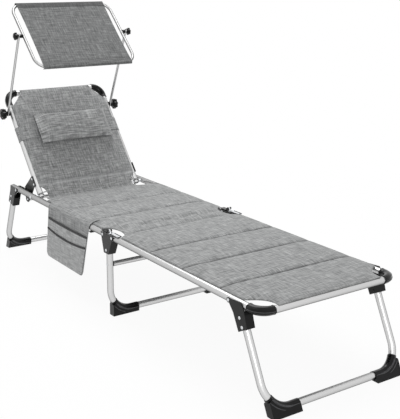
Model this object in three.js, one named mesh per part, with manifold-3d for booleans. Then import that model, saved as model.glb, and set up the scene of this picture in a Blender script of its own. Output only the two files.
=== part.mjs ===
// Folding sun lounger: foot section, seat section and backrest on three U legs, with a tilting canopy.
// Millimetres, +Z up. X runs across, Y from the foot end to the head end, and Z = 0 is the ground.
import * as THREE from "three";
import { mergeVertices } from "three/addons/utils/BufferGeometryUtils.js";
import Module from "manifold-3d";

const wasm = await Module();
wasm.setup();

// Frame tube and overall places
const tubeRadius = 12.5;
const tubeWall = 1.5;
const railSpacing = 560; // between the centre lines of the two rails
const railHeight = 323; // centre line of the rails above the ground
const foldAt = 909; // the fold between foot and seat section, from the foot crossbar's centre line
const railEnd = 1806; // head end of the rails
const footBendRadius = 34;

// Fits
const gap = 0.3; // between pieces that touch
const overrun = 2; // how far a cutting tool runs past a face
const tubeSides = 12;
const boreSides = 8;
const bendSteps = 4;

// Legs: a U of frame tube, given by where its centre line crosses the rail height and the floor bar
const soleThickness = 5.5;
const legBendRadius = 87;
const legTopDrop = 22; // from the rail's centre line down to the cut end of an upright
const footLeg = { topY: 101, floorY: -48 };
const middleLeg = { topY: 910, floorY: 910, pivotZ: 269, endAbovePivot: 11 };
const rearLeg = { topY: 1781, floorY: 1914 };
const braceRadius = 10;
const braceWall = 1.5;
const braceHeight = 210;

// Channel brackets: plates on both sides of the rail, joined by a web. Corners are given as the
// distance out from the leg's centre line and the height from the rail's.
const plateThickness = 3;
const webThickness = 2.5;
const wallDrop = 45; // the wall on the pivot's side starts this far below the pivot
const plateTopDrop = 0.5; // below the top of the rail
const lugRadius = 9;
const footBracket = {
  pivotY: 140,
  corners: [[-28.6, -32], [-27, -86], [26.2, -65], [34.8, -12.8], [29.9, 12]],
};
const rearBracket = {
  pivotY: 1740,
  corners: [[-34.1, -30], [-34.6, -84], [17.5, -70], [17.4, -12.8], [22.2, 12]],
};
const innerPlateDrop = 15; // the inner plates run under the rail, this far below the pivot
const innerPlateReach = 18; // and start this far out from it
const lugSteps = 6;
const bracketRivetDrops = [44, 74]; // along the leg from the rail's centre line
const middleBracket = {
  rearTop: 41, frontTop: 53, rearBottom: 18, frontBottom: 17.5, bottomZ: 256,
  railRivet: 28, restRivet: 41, rivetRise: 3, webTopOut: 40,
};

// Rivets and bolts
const rivet = { radius: 3, hole: 3.9, headRadius: 5.2, headHeight: 1.8, sides: 6 };
const bolt = { radius: 4, hole: 4.8, headRadius: 7, headHeight: 2.5, sides: 8 };
const headTopShare = 0.7; // a head narrows to this share at its top
const railRivetY = 608; // single rivet in the side of the foot rail

// Boots under the legs
const bootWall = 2.6;
const bootReach = 114; // along the floor bar, from the outer face
const bootInset = 4; // the outer face stands this far inside the leg's centre line

// Elbow sleeves
const sleeveWall = 2.6;
const footSleeve = { alongRail: 54, alongBar: 46 };
const backSleeve = { alongSide: 63, alongBar: 48 };

// Fold hinges on the rails
const hinge = {
  axisRise: 22, knuckleRadius: 4.6, pinRadius: 2, pinHole: 2.6, leafThickness: 2.2,
  seatLeaf: 46, footLeaf: 76, width: 20, knuckles: 3, headRadius: 3.4, headHeight: 1.2,
};
const capThickness = 2;
const capPlug = 8;

// Backrest
const backPivotY = 1591.5;
const backTilt = 50.4; // degrees from flat
const backLength = 526; // from the pivot to the centre line of the top bar
const backInset = 38; // from a rail's centre line in to the backrest's side tube
const backBendRadius = 46;
const backTubeTail = 9; // tube below the pivot
const bushRadius = 8;

// Adjuster: notched plates on the backrest, tied by a tube, and pawls on the rails
const ratchet = {
  radius: 134, toothDepth: 4, teeth: 6, firstAngle: 6, lastAngle: -22, thickness: 3.2,
  tieRadius: 115, tieAngle: -19.3, tieTube: 8, tieWall: 1.2, tipRadius: 14,
  top: 96, bottom: 46, edge: 9, rivets: [84, 57], heel: [30, -66],
  toothTopShare: 0.35, toothRootShare: 0.6, tipStart: 10, tipStep: 35, tipSteps: 3,
};
const pawl = {
  pivotY: 1784, rise: 2, height: 11, tipHeight: 2, tipClear: 0.5, tipLength: 10,
  tailRadius: 7, tailShare: 0.4, spacerRadius: 7,
};

// Quilted fabric
const clothThickness = 3;
const padLoft = 11;
const padInset = 1; // the quilt's edge lies this far inside the rail's centre line
const puffPower = 0.6; // the lower, the flatter a panel's crown
const edgePower = 6; // the higher, the steeper a panel's sides
const channelDepthShare = 0.28; // loft that is left in a seam
const drawIn = 2; // how far the fabric's edge draws in between seams
const footSeams = [204, 418, 623, 848];
const seatSeams = [1076, 1256];
const footPad = { start: -6, cornerCut: 68, cornerInset: 53, cornerPower: 3 };
const foldNotch = { footward: 12, halfLength: 68, depth: 41 }; // cutout round the hinge
const foldRamp = 22; // beside the fold the quilt thins out so that the sections close
const seatRidge = 1446;
const seatFlap = { endY: 1557, endDrop: 12, inset: 16, narrowShare: 1 / 3 };
const backPad = {
  start: -20, over: 5, sideInset: 2,
  lowerInset: 28, lowerEnd: 38, lowerPower: 4, topCut: 82, topInset: 62, topPower: 1.5,
};
const backSeamShares = [0.085, 0.32, 0.565, 0.81]; // of the way up the backrest

// Head pillow and its band
const pillow = {
  left: -163, right: 195, topDrop: 139, height: 149, thickness: 46, backShare: 0.35,
  drawIn: 10, endDrawShare: 0.6, facePower: 4,
};
const band = { aboveBottom: 35, belowTop: 45, thickness: 1.2 };

// Side pocket on the near rail
const pocket = {
  clear: 2, layer: 1.2, spacing: 1.8, footY: 1046, headY: 1399, footBottomY: 1112, headBottomY: 1436,
  bottomZ: 104, cornerRadius: 30, largeTopZ: 278, smallTopZ: 232, sagShare: 0.05,
};

// Canopy and its arms
const armDrop = 102; // from the backrest's top bar down to the arms' pivot
const arm = {
  standOff: 4.35, width: 14, thickness: 7.5, wall: 1.2, length: 391, angle: 114.1, overhang: 9,
};
const canopy = {
  tilt: 43.3, halfLength: 180.5, inset: 21.6, bendRadius: 55, tubeRadius: 6, bore: 5, hub: 4.5,
  cloth: 1.2, clothInset: 25.5, sleeveInset: 59, sleeveReach: 24, clothSteps: 4,
};
const lowerKnob = {
  radius: 25, lobes: 7, lobeDepth: 3.4, hubRadius: 11, hubLength: 10, grip: 20,
  studRadius: 4, studHole: 4.9,
};
const upperKnob = {
  radius: 17, lobes: 6, lobeDepth: 2.4, hubRadius: 8, hubLength: 5, grip: 13,
  studRadius: 3, studHole: 3.9,
};
const knobFlareShare = 1.3; // of the hub's radius, where it meets the grip
const knobDome = { height: 3, footShare: 1.2, topShare: 0.8 };
const lowerSpacerRadius = 11;
const wrapSteps = 6; // of the cloth round a canopy tube
const canopyHubRadius = 8.5;

// Values that follow from the sizes above
const railX = railSpacing / 2;
const backX = railX - backInset;
const armX = backX + tubeRadius + arm.standOff + arm.thickness / 2;
const canopyX = armX - canopy.inset;
const pocketX = railX + tubeRadius + pocket.clear;
const padHalfWidth = railX - padInset;
const backPadEnd = backLength + backPad.over;
const backSeams = backSeamShares.map((share) => share * backPadEnd);
const pillowTop = backLength - pillow.topDrop;
const pillowBottom = pillowTop - pillow.height;
const armPivot = backLength - armDrop;
const notchCentre = foldAt - foldNotch.footward;
const bore = tubeRadius - tubeWall;
const floorBarZ = tubeRadius + soleThickness;
const padBase = railHeight + tubeRadius + gap;
const backAxis = { y: backPivotY, z: railHeight };
const radians = THREE.MathUtils.degToRad;
const point = (x, y, z) => new THREE.Vector3(x, y, z);

// Materials
const finish = (color, roughness, metalness) =>
  new THREE.MeshStandardMaterial({ color, roughness, metalness });
const aluminium = finish("#dcdee0", 0.3, 0.9);
const steel = finish("#b9bbbd", 0.35, 0.9);
const plastic = finish("#1d1d1f", 0.5, 0);
const seatCloth = finish("#a7a8a9", 0.9, 0);
const backCloth = finish("#828384", 0.9, 0);
const canopyCloth = finish("#808182", 0.9, 0);
const bandCloth = finish("#3a3b3d", 0.85, 0);

// Solids
function solidOf(geometry) {
  const bare = new THREE.BufferGeometry();
  bare.setAttribute("position", geometry.getAttribute("position"));
  if (geometry.index) bare.setIndex(geometry.index);
  const merged = mergeVertices(bare);
  return new wasm.Manifold(
    new wasm.Mesh({
      numProp: 3,
      vertProperties: merged.attributes.position.array,
      triVerts: new Uint32Array(merged.index.array),
    }),
  );
}

function geometryOf(solid) {
  const mesh = solid.getMesh();
  const geometry = new THREE.BufferGeometry();
  geometry.setAttribute("position", new THREE.BufferAttribute(new Float32Array(mesh.vertProperties), 3));
  geometry.setIndex(new THREE.BufferAttribute(new Uint32Array(mesh.triVerts), 1));
  geometry.computeVertexNormals();
  return geometry;
}

function join(geometries) {
  const [first, ...others] = geometries.map(solidOf);
  return geometryOf(others.reduce((whole, next) => whole.add(next), first));
}

function cut(geometry, tools) {
  return geometryOf(tools.map(solidOf).reduce((whole, tool) => whole.subtract(tool), solidOf(geometry)));
}

// A path with one ring of the tube at each station, so that straight runs take one step
class StationPath extends THREE.Curve {
  constructor(stations) {
    super();
    this.stations = stations;
  }
  getPoint(share, target = new THREE.Vector3()) {
    const place = share * (this.stations.length - 1);
    const index = Math.min(Math.floor(place), this.stations.length - 2);
    return target.lerpVectors(this.stations[index].at, this.stations[index + 1].at, place - index);
  }
  getPointAt(share, target) {
    return this.getPoint(share, target);
  }
  getTangentAt(share, target = new THREE.Vector3()) {
    return target.copy(this.stations[Math.round(share * (this.stations.length - 1))].along);
  }
}

// Straight runs between corners, each corner rounded to the bend radius
function bentPath(corners, bendRadius = 0, steps = bendSteps) {
  const along = corners.slice(1).map((corner, i) => corner.clone().sub(corners[i]).normalize());
  const stations = [{ at: corners[0].clone(), along: along[0] }];
  for (let i = 1; i < corners.length - 1; i++) {
    const [before, after] = [along[i - 1], along[i]];
    const turn = before.angleTo(after);
    const side = after.clone().addScaledVector(before, -Math.cos(turn)).normalize();
    const start = corners[i].clone().addScaledVector(before, -bendRadius * Math.tan(turn / 2));
    for (let k = 0; k <= steps; k++) {
      const angle = (turn * k) / steps;
      const at = start.clone().addScaledVector(before, bendRadius * Math.sin(angle));
      at.addScaledVector(side, bendRadius * (1 - Math.cos(angle)));
      const tangent = before.clone().multiplyScalar(Math.cos(angle)).addScaledVector(side, Math.sin(angle));
      stations.push({ at, along: tangent });
    }
  }
  stations.push({ at: corners.at(-1).clone(), along: along.at(-1) });
  return new StationPath(stations);
}

function polygon(radius, sides, centre = [0, 0]) {
  return Array.from({ length: sides }, (_, i) => {
    const angle = (2 * Math.PI * i) / sides;
    return new THREE.Vector2(centre[0] + radius * Math.cos(angle), centre[1] + radius * Math.sin(angle));
  });
}

function tubeAlong(path, radius, boreRadius = 0, sides = tubeSides) {
  const ring = new THREE.Shape(polygon(radius, sides));
  if (boreRadius > 0) ring.holes.push(new THREE.Path(polygon(boreRadius, boreSides)));
  return new THREE.ExtrudeGeometry(ring, { steps: path.stations.length - 1, extrudePath: path });
}

// A solid rod between two points, also used as a drill
const rod = (from, to, radius, sides = rivet.sides) => tubeAlong(bentPath([from, to]), radius, 0, sides);
const drillX = (x0, x1, y, z, radius) => rod(point(x0, y, z), point(x1, y, z), radius);

// A plate whose outline is given in Y and Z, from x0 to x1
function plateX(outline, x0, x1, holes = []) {
  const drawn = () => new THREE.Shape(outline.map(([y, z]) => new THREE.Vector2(y, z)));
  const shape = outline instanceof THREE.Shape ? outline : drawn();
  for (const hole of holes) shape.holes.push(new THREE.Path(polygon(hole.radius, rivet.sides, hole.at)));
  const plate = new THREE.ExtrudeGeometry(shape, { depth: Math.abs(x1 - x0), bevelEnabled: false });
  plate.applyMatrix4(new THREE.Matrix4().makeBasis(point(0, 1, 0), point(0, 0, 1), point(1, 0, 0)));
  return plate.translate(Math.min(x0, x1), 0, 0);
}

// A turned piece on the X axis, from a profile of [x, radius] pairs that starts and ends on the axis
function turnedX(profile, sides) {
  const lathe = new THREE.LatheGeometry(profile.map(([x, radius]) => new THREE.Vector2(radius, x)), sides);
  return lathe.rotateZ(-Math.PI / 2);
}

// Profile of a rivet's head at x, on the side given by outward
const headProfile = (x, outward, kind = rivet) => {
  const face = x + outward * kind.headHeight;
  const profile = [[x, kind.headRadius], [face, kind.headRadius * headTopShare], [face, 0]];
  return outward > 0 ? profile : profile.reverse();
};

// A rivet along X with a head outside each end of its grip
function rivetX(x0, x1, y, z, kind = rivet) {
  const shank = [[x0, kind.radius], [x1, kind.radius]];
  const profile = [...headProfile(x0, -1, kind), ...shank, ...headProfile(x1, 1, kind)];
  return turnedX(profile, kind.sides).translate(0, y, z);
}

// A stud with a head at its outer end only
function studX(x0, x1, y, z, kind = rivet) {
  const profile = [[x0, 0], [x0, kind.radius], [x1, kind.radius], ...headProfile(x1, 1, kind)];
  return turnedX(profile, kind.sides).translate(0, y, z);
}

function piece(parent, name, geometry, material, mirrored = false) {
  const mesh = new THREE.Mesh(geometry, material);
  mesh.name = name;
  if (mirrored) mesh.scale.x = -1;
  parent.add(mesh);
  return mesh;
}

// The same piece on the right, +X, and mirrored on the left
function pair(parent, name, geometry, material) {
  piece(parent, `${name}_right`, geometry, material);
  piece(parent, `${name}_left`, geometry, material, true);
}

// Rails of the seat section
function seatRail() {
  const end = railEnd - capThickness;
  const path = bentPath([point(railX, foldAt + gap, railHeight), point(railX, end, railHeight)]);
  const reach = tubeRadius + overrun;
  const drill = (y, z, radius) => drillX(railX - reach, railX + reach, y, z, radius);
  return cut(tubeAlong(path, tubeRadius, bore), [
    drill(foldAt + middleBracket.railRivet, railHeight + middleBracket.rivetRise, rivet.hole),
    drill(rearBracket.pivotY, railHeight, rivet.hole),
    drill(backAxis.y, backAxis.z, bolt.hole),
    drillX(railX - reach, railX, pawl.pivotY, railHeight, rivet.hole),
  ]);
}

const footPath = () =>
  bentPath(
    [
      point(-railX, foldAt - gap, railHeight), point(-railX, 0, railHeight),
      point(railX, 0, railHeight), point(railX, foldAt - gap, railHeight),
    ],
    footBendRadius,
  );

function footFrame() {
  const reach = tubeRadius + overrun;
  const drills = [-railX, railX].flatMap((x) => [
    drillX(x - reach, x + reach, footBracket.pivotY, railHeight, rivet.hole),
    drillX(x - reach, x + reach, railRivetY, railHeight, rivet.hole),
  ]);
  return cut(tubeAlong(footPath(), tubeRadius, bore), drills);
}

// A plastic sleeve round a corner of a tube
function sleeve(corner, along0, length0, along1, length1, bendRadius) {
  const [start, end] = [[along0, length0], [along1, length1]].map(([along, length]) =>
    corner.clone().addScaledVector(along, length),
  );
  const path = bentPath([start, corner, end], bendRadius);
  const inner = tubeRadius + gap;
  const ring = new THREE.Shape(polygon(inner + sleeveWall, tubeSides));
  ring.holes.push(new THREE.Path(polygon(inner, tubeSides)));
  return new THREE.ExtrudeGeometry(ring, { steps: path.stations.length - 1, extrudePath: path });
}

const footElbow = () =>
  sleeve(
    point(railX, 0, railHeight), point(0, 1, 0), footSleeve.alongRail, point(-1, 0, 0),
    footSleeve.alongBar, footBendRadius,
  );

// Caps in the open ends of a rail
function railCap(y, outward) {
  const at = (distance) => point(railX, y + outward * distance, railHeight);
  const plugRadius = bore * Math.cos(Math.PI / boreSides) - gap;
  const plug = rod(at(-capPlug), at(0), plugRadius, boreSides);
  const lid = rod(at(0), at(capThickness), tubeRadius, tubeSides);
  return join([plug, lid]);
}

// Fold hinges: the leaf, its rise to the knuckle and its share of the knuckles
function hingeLeaf(toHead) {
  const axisZ = railHeight + hinge.axisRise;
  const leafZ = railHeight + tubeRadius + gap;
  const topZ = leafZ + hinge.leafThickness;
  const y = (distance) => foldAt + toHead * distance;
  const r = hinge.knuckleRadius;
  const half = hinge.width / 2;
  const length = toHead > 0 ? hinge.seatLeaf : hinge.footLeaf;
  const leaf = plateX(
    [[y(r + gap), leafZ], [y(length), leafZ], [y(length), topZ], [y(r + gap), topZ]],
    railX - half, railX + half,
  );
  const segment = hinge.width / hinge.knuckles;
  const own = toHead > 0 ? [0, 2] : [1];
  const knuckles = own.map((k) => {
    const x0 = railX - half + k * segment + gap / 2;
    const round = [90, 150, 180, 240].map((degrees) => {
      const angle = radians(degrees);
      return [y(r * Math.cos(angle)), axisZ + r * Math.sin(angle)];
    });
    const heel = y(r + 2 * hinge.leafThickness);
    const outline = [...round, [y(r + gap), leafZ], [heel, leafZ], [heel, topZ], [y(r), axisZ]];
    const holes = toHead > 0 ? [] : [{ at: [y(0), axisZ], radius: hinge.pinHole }];
    return plateX(outline, x0, x0 + segment - gap, holes);
  });
  return join(toHead > 0 ? [leaf, ...knuckles, hingePin()] : [leaf, ...knuckles]);
}

// The pin is fixed in the seat leaf's knuckles and turns in the foot leaf's
function hingePin() {
  const kind = { ...hinge, radius: hinge.pinRadius, sides: rivet.sides };
  const half = hinge.width / 2 - gap;
  return rivetX(railX - half, railX + half, foldAt, railHeight + hinge.axisRise, kind);
}

// Legs, each in its own plane: local Z runs up the leg from the rail height
function legFrame(leg) {
  const frame = new THREE.Group();
  frame.position.set(0, leg.topY, railHeight);
  frame.rotation.x = Math.atan2(leg.floorY - leg.topY, railHeight - floorBarZ);
  return frame;
}

const legLength = (leg) => Math.hypot(leg.floorY - leg.topY, railHeight - floorBarZ);

function legPath(leg) {
  const top = leg.pivotZ ? leg.pivotZ + leg.endAbovePivot - railHeight : -legTopDrop;
  const bottom = -legLength(leg);
  return bentPath(
    [point(-railX, 0, top), point(-railX, 0, bottom), point(railX, 0, bottom), point(railX, 0, top)],
    legBendRadius,
  );
}

function legTube(leg, holeDrops) {
  const reach = tubeRadius + overrun;
  const drills = [-railX, railX].flatMap((x) =>
    holeDrops.map((drop) => drillX(x - reach, x + reach, 0, -drop, rivet.hole)),
  );
  return cut(tubeAlong(legPath(leg), tubeRadius, bore), drills);
}

// A boot holds the lower and outer half of the tube in the corner and stands flat on the ground
function boot(leg) {
  const bottom = -legLength(leg);
  const lean = Math.atan2(leg.floorY - leg.topY, railHeight - floorBarZ);
  const outer = railX - bootInset;
  const bend = { x: railX - legBendRadius, z: bottom + legBendRadius };
  const skin = legBendRadius + tubeRadius + bootWall;
  const rise = Math.acos((outer - bend.x) / skin);
  const depth = 2 * (floorBarZ + tubeRadius);
  const shape = new THREE.Shape();
  shape.moveTo(outer, bottom - depth);
  shape.lineTo(outer, bend.z - skin * Math.sin(rise));
  shape.lineTo(bend.x + legBendRadius * Math.cos(rise), bend.z - legBendRadius * Math.sin(rise));
  shape.absarc(bend.x, bend.z, legBendRadius, -rise, -Math.PI / 2, true);
  shape.lineTo(outer - bootReach, bottom);
  shape.lineTo(outer - bootReach, bottom - depth);
  const half = tubeRadius + gap + bootWall;
  const options = { depth: 2 * half, bevelEnabled: false, curveSegments: bendSteps };
  const block = new THREE.ExtrudeGeometry(shape, options);
  block.applyMatrix4(new THREE.Matrix4().makeBasis(point(1, 0, 0), point(0, 0, 1), point(0, -1, 0)));
  block.translate(0, half, 0);
  const ground = new THREE.BoxGeometry(2 * railSpacing, 2 * railSpacing, 2 * railSpacing);
  ground.translate(0, 0, -railSpacing - railHeight);
  ground.rotateX(-lean);
  const tools = [tubeAlong(legPath(leg), tubeRadius + gap), ground];
  return cut(block, tools);
}

// Brackets that swing with a leg: the lug takes the pivot rivet, the web stops under the rail,
// and a wall on the pivot's side closes the lower part
function swingBracket(kind, leg, toHead) {
  const at = ([u, v]) => [kind.pivotY + toHead * u, railHeight + v];
  const slope = Math.abs(leg.floorY - leg.topY) / (railHeight - floorBarZ);
  const legOut = (v) => Math.abs(leg.topY - kind.pivotY) - v * slope;
  const corners = kind.corners.map(([out, v]) => [legOut(v) + out, v]);
  const outline = (ends) => {
    const shape = new THREE.Shape();
    const turn = Math.PI / 3;
    for (let k = 0; k <= lugSteps; k++) {
      const angle = turn + (k * (2 * Math.PI - 2 * turn)) / lugSteps;
      const [y, z] = at([lugRadius * Math.cos(angle), lugRadius * Math.sin(angle)]);
      if (k === 0) shape.moveTo(y, z);
      else shape.lineTo(y, z);
    }
    for (const end of ends) shape.lineTo(...at(end));
    return shape;
  };
  const lean = Math.atan2(leg.floorY - leg.topY, railHeight - floorBarZ);
  const holes = () => [{ at: [kind.pivotY, railHeight], radius: rivet.hole }];
  const inner = tubeRadius + gap;
  const outer = inner + plateThickness;
  const [edgeTop, edgeBottom, bottom, top] = corners;
  const under = [
    edgeTop, edgeBottom, bottom, [top[0], -innerPlateDrop], [innerPlateReach, -innerPlateDrop],
  ];
  const sheet = (upper, lower, thickness) =>
    [upper, lower, [lower[0] + thickness, lower[1]], [upper[0] + thickness, upper[1]]].map(at);
  const wallShare = (-wallDrop - edgeTop[1]) / (edgeBottom[1] - edgeTop[1]);
  const wallTop = [edgeTop[0] + wallShare * (edgeBottom[0] - edgeTop[0]), -wallDrop];
  const rivets = bracketRivetDrops.map((drop) =>
    rivetX(
      railX - outer + gap, railX + outer - gap,
      leg.topY + drop * Math.sin(lean), railHeight - drop * Math.cos(lean),
    ),
  );
  return join([
    ...rivets,
    plateX(outline(corners), railX + inner, railX + outer, holes()),
    plateX(outline(under), railX - outer, railX - inner, holes()),
    plateX(sheet(top, bottom, -webThickness), railX - outer, railX + outer),
    plateX(sheet(wallTop, edgeBottom, webThickness), railX - outer, railX + outer),
  ]);
}

// The bracket at the fold is fixed to the seat rail and reaches under the foot rail
function middleBracketPiece() {
  const kind = middleBracket;
  const top = railHeight + tubeRadius - plateTopDrop;
  const pivotY = middleLeg.topY;
  const outline = [
    [foldAt + kind.rearTop, top], [pivotY + kind.rearBottom, kind.bottomZ],
    [pivotY - kind.frontBottom, kind.bottomZ], [foldAt - kind.frontTop, top],
  ];
  const rivetZ = railHeight + kind.rivetRise;
  const inner = tubeRadius + gap;
  const outer = inner + plateThickness;
  const webTop = railHeight - inner;
  const [webBottomY, webTopY] = [pivotY - kind.frontBottom, foldAt - kind.webTopOut];
  const web = [
    [webBottomY, kind.bottomZ], [webTopY, webTop],
    [webTopY + webThickness, webTop], [webBottomY + webThickness, kind.bottomZ],
  ];
  const restY = foldAt - kind.restRivet;
  const grip = outer - gap;
  return join([
    plateX(outline, railX + inner, railX + outer),
    plateX(outline, railX - outer, railX - inner),
    plateX(web, railX - outer, railX + outer),
    rivetX(railX - grip, railX + grip, foldAt + kind.railRivet, rivetZ),
    rivetX(railX - grip, railX + grip, pivotY, middleLeg.pivotZ),
    studX(railX + inner + gap, railX + grip, restY, rivetZ),
  ]);
}

const pivotRivet = (kind) => {
  const grip = tubeRadius + gap + plateThickness + gap;
  return rivetX(railX - grip, railX + grip, kind.pivotY, railHeight);
};

// A cross tube with a plug riveted in each end, and a drain hole in the middle
function pluggedTube(end, y, z, radius, wall, headAt) {
  const plugRadius = radius - wall / 2;
  const plug = [
    [end - capPlug, 0], [end - capPlug, plugRadius], [end - gap, plugRadius], [end - gap, rivet.radius],
    [headAt, rivet.radius], ...headProfile(headAt, 1),
  ];
  const right = turnedX(plug, rivet.sides);
  const left = turnedX(plug.map(([x, r]) => [-x, r]).reverse(), rivet.sides);
  const tube = tubeAlong(bentPath([point(-end, 0, 0), point(end, 0, 0)]), radius, radius - wall);
  const drain = rod(point(0, 0, -radius - overrun), point(0, 0, 0), rivet.radius);
  return cut(join([tube, right, left]), [drain]).translate(0, y, z);
}

const middleBrace = () => {
  const reach = tubeRadius + gap;
  return pluggedTube(railX - reach, 0, braceHeight - railHeight, braceRadius, braceWall, railX + reach);
};

// Backrest, in its own plane: local Y runs up the backrest from the pivot, local Z is its front
function backFrame() {
  const path = bentPath(
    [
      point(-backX, -backTubeTail, 0), point(-backX, backLength, 0),
      point(backX, backLength, 0), point(backX, -backTubeTail, 0),
    ],
    backBendRadius,
  );
  const reach = tubeRadius + overrun;
  const drills = [-backX, backX].flatMap((x) => [
    drillX(x - reach, x + reach, 0, 0, bolt.hole),
    drillX(x - reach, x + reach, armPivot, 0, lowerKnob.studHole),
    ...ratchet.rivets.map((t) => drillX(x - reach, x + reach, t, 0, rivet.hole)),
  ]);
  return cut(tubeAlong(path, tubeRadius, bore), drills);
}

const backElbow = () =>
  sleeve(
    point(backX, backLength, 0), point(0, -1, 0), backSleeve.alongSide, point(-1, 0, 0),
    backSleeve.alongBar, backBendRadius,
  );

// The recline bolt has a shoulder between the backrest tube and the rail
function reclineBolt() {
  const inner = backX - tubeRadius - gap;
  const outer = railX + tubeRadius + gap;
  const shoulder = [backX + tubeRadius + gap, railX - tubeRadius - gap];
  const profile = [
    ...headProfile(inner, -1, bolt), [inner, bolt.radius], [shoulder[0], bolt.radius],
    [shoulder[0], bushRadius], [shoulder[1], bushRadius],
    [shoulder[1], bolt.radius], [outer, bolt.radius], ...headProfile(outer, 1, bolt),
  ];
  return turnedX(profile, bolt.sides).translate(0, backAxis.y, backAxis.z);
}

// The notched plate, drawn about the recline pivot in the backrest's plane
function ratchetPlate() {
  const polar = (radius, degrees) => {
    const angle = radians(degrees - backTilt);
    return [radius * Math.cos(angle), radius * Math.sin(angle)];
  };
  const outline = [[ratchet.top, ratchet.edge], [ratchet.top, -ratchet.edge]];
  const pitch = (ratchet.firstAngle - ratchet.lastAngle) / ratchet.teeth;
  for (let k = 0; k < ratchet.teeth; k++) {
    const start = ratchet.firstAngle - k * pitch;
    outline.push(polar(ratchet.radius, start));
    outline.push(polar(ratchet.radius, start - pitch * ratchet.toothTopShare));
    outline.push(polar(ratchet.radius - ratchet.toothDepth, start - pitch * ratchet.toothRootShare));
  }
  outline.push(polar(ratchet.radius, ratchet.lastAngle));
  const [tieT, tieN] = polar(ratchet.tieRadius, ratchet.tieAngle);
  for (let k = 0; k <= ratchet.tipSteps; k++) {
    const angle = radians(ratchet.lastAngle - backTilt - ratchet.tipStart - k * ratchet.tipStep);
    outline.push([tieT + ratchet.tipRadius * Math.cos(angle), tieN + ratchet.tipRadius * Math.sin(angle)]);
  }
  outline.push(ratchet.heel, [ratchet.bottom, -ratchet.edge], [ratchet.bottom, ratchet.edge]);
  const x0 = backX + tubeRadius + gap;
  const x1 = x0 + ratchet.thickness;
  const plate = plateX(outline, x0, x1, [{ at: [tieT, tieN], radius: rivet.hole }]);
  return join([plate, ...ratchet.rivets.map((t) => rivetX(backX - tubeRadius - gap, x1 - gap, t, 0))]);
}

function tieCentre() {
  const angle = radians(ratchet.tieAngle - backTilt);
  return { y: ratchet.tieRadius * Math.cos(angle), z: ratchet.tieRadius * Math.sin(angle) };
}

function tieTube() {
  const { y, z } = tieCentre();
  const end = backX + tubeRadius;
  return pluggedTube(end, y, z, ratchet.tieTube, ratchet.tieWall, end + 2 * gap + ratchet.thickness);
}

// The pawl lies level behind the rail and points at the recline pivot
function pawlPiece() {
  const z = railHeight + pawl.rise;
  const tip = backAxis.y + ratchet.radius + pawl.tipClear;
  const [half, tipHalf] = [pawl.height / 2, pawl.tipHeight / 2];
  const tail = pawl.tailRadius;
  const [tailY, tailRise] = [pawl.pivotY + tail, tail * pawl.tailShare];
  const outline = [
    [tip, z + tipHalf], [tip + pawl.tipLength, z + half], [pawl.pivotY, railHeight + tail],
    [tailY, railHeight + tailRise], [tailY, railHeight - tailRise],
    [pawl.pivotY, railHeight - tail], [tip + pawl.tipLength, z - half], [tip, z - tipHalf],
  ];
  const x0 = backX + tubeRadius + gap;
  const x1 = x0 + ratchet.thickness;
  const bossEnd = railX - tubeRadius - gap;
  const pinEnd = railX - bore / 2;
  const pin = [
    [x1 - gap, 0], [x1 - gap, pawl.spacerRadius], [bossEnd, pawl.spacerRadius], [bossEnd, rivet.radius],
    [pinEnd, rivet.radius], [pinEnd, 0],
  ];
  return join([plateX(outline, x0, x1), turnedX(pin, rivet.sides).translate(0, pawl.pivotY, railHeight)]);
}

// Quilted panels
const acrossShares = [-1, -0.92, -0.5, 0, 0.5, 0.92, 1];
const panelShares = [0, 0.12, 0.5, 0.88];
const tallShares = [-1, -0.86, -0.55, 0, 0.55, 0.86, 1];
const wideShares = [-1, -0.93, -0.75, -0.4, 0, 0.4, 0.75, 0.93, 1];

// A closed quilt: rows along Y, columns across, from functions of the place along the rows
function quilt(rows, halfWidth, base, thickness, loft) {
  const positions = [];
  const columns = acrossShares.length;
  for (const upper of [1, 0])
    for (const row of rows)
      for (const share of acrossShares) {
        const crown = loft(row) * Math.sqrt(1 - share ** edgePower);
        positions.push(share * halfWidth(row), row, base(row) + upper * (thickness(row) + crown));
      }
  const index = [];
  const layer = rows.length * columns;
  const at = (lower, row, column) => lower * layer + row * columns + column;
  const quad = (a, b, c, d) => index.push(a, b, c, a, c, d);
  for (let r = 0; r + 1 < rows.length; r++) {
    for (let c = 0; c + 1 < columns; c++) {
      quad(at(0, r, c), at(0, r, c + 1), at(0, r + 1, c + 1), at(0, r + 1, c));
      quad(at(1, r, c), at(1, r + 1, c), at(1, r + 1, c + 1), at(1, r, c + 1));
    }
    quad(at(0, r, 0), at(0, r + 1, 0), at(1, r + 1, 0), at(1, r, 0));
    const edge = columns - 1;
    quad(at(0, r, edge), at(1, r, edge), at(1, r + 1, edge), at(0, r + 1, edge));
  }
  for (let c = 0; c + 1 < columns; c++) {
    quad(at(0, 0, c), at(1, 0, c), at(1, 0, c + 1), at(0, 0, c + 1));
    const last = rows.length - 1;
    quad(at(0, last, c), at(0, last, c + 1), at(1, last, c + 1), at(1, last, c));
  }
  const geometry = new THREE.BufferGeometry();
  geometry.setAttribute("position", new THREE.BufferAttribute(new Float32Array(positions), 3));
  geometry.setIndex(index);
  geometry.computeVertexNormals();
  return geometry;
}

function quiltRows(seams, extra) {
  const within = (start, end) => panelShares.map((share) => start + share * (end - start));
  const rows = seams.slice(1).flatMap((end, i) => within(seams[i], end));
  return [...new Set([...rows, ...extra, seams.at(-1)])].sort((a, b) => a - b);
}

// Loft between two seams, with a low channel left in each seam
function panelLoft(place, seams, full) {
  const i = Math.max(0, seams.findIndex((seam) => seam > place) - 1);
  const [start, end] = place >= seams.at(-1) ? seams.slice(-2) : [seams[i], seams[i + 1]];
  const share = THREE.MathUtils.clamp((place - start) / (end - start), 0, 1);
  return full * (channelDepthShare + (1 - channelDepthShare) * Math.sin(Math.PI * share) ** puffPower);
}

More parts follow.
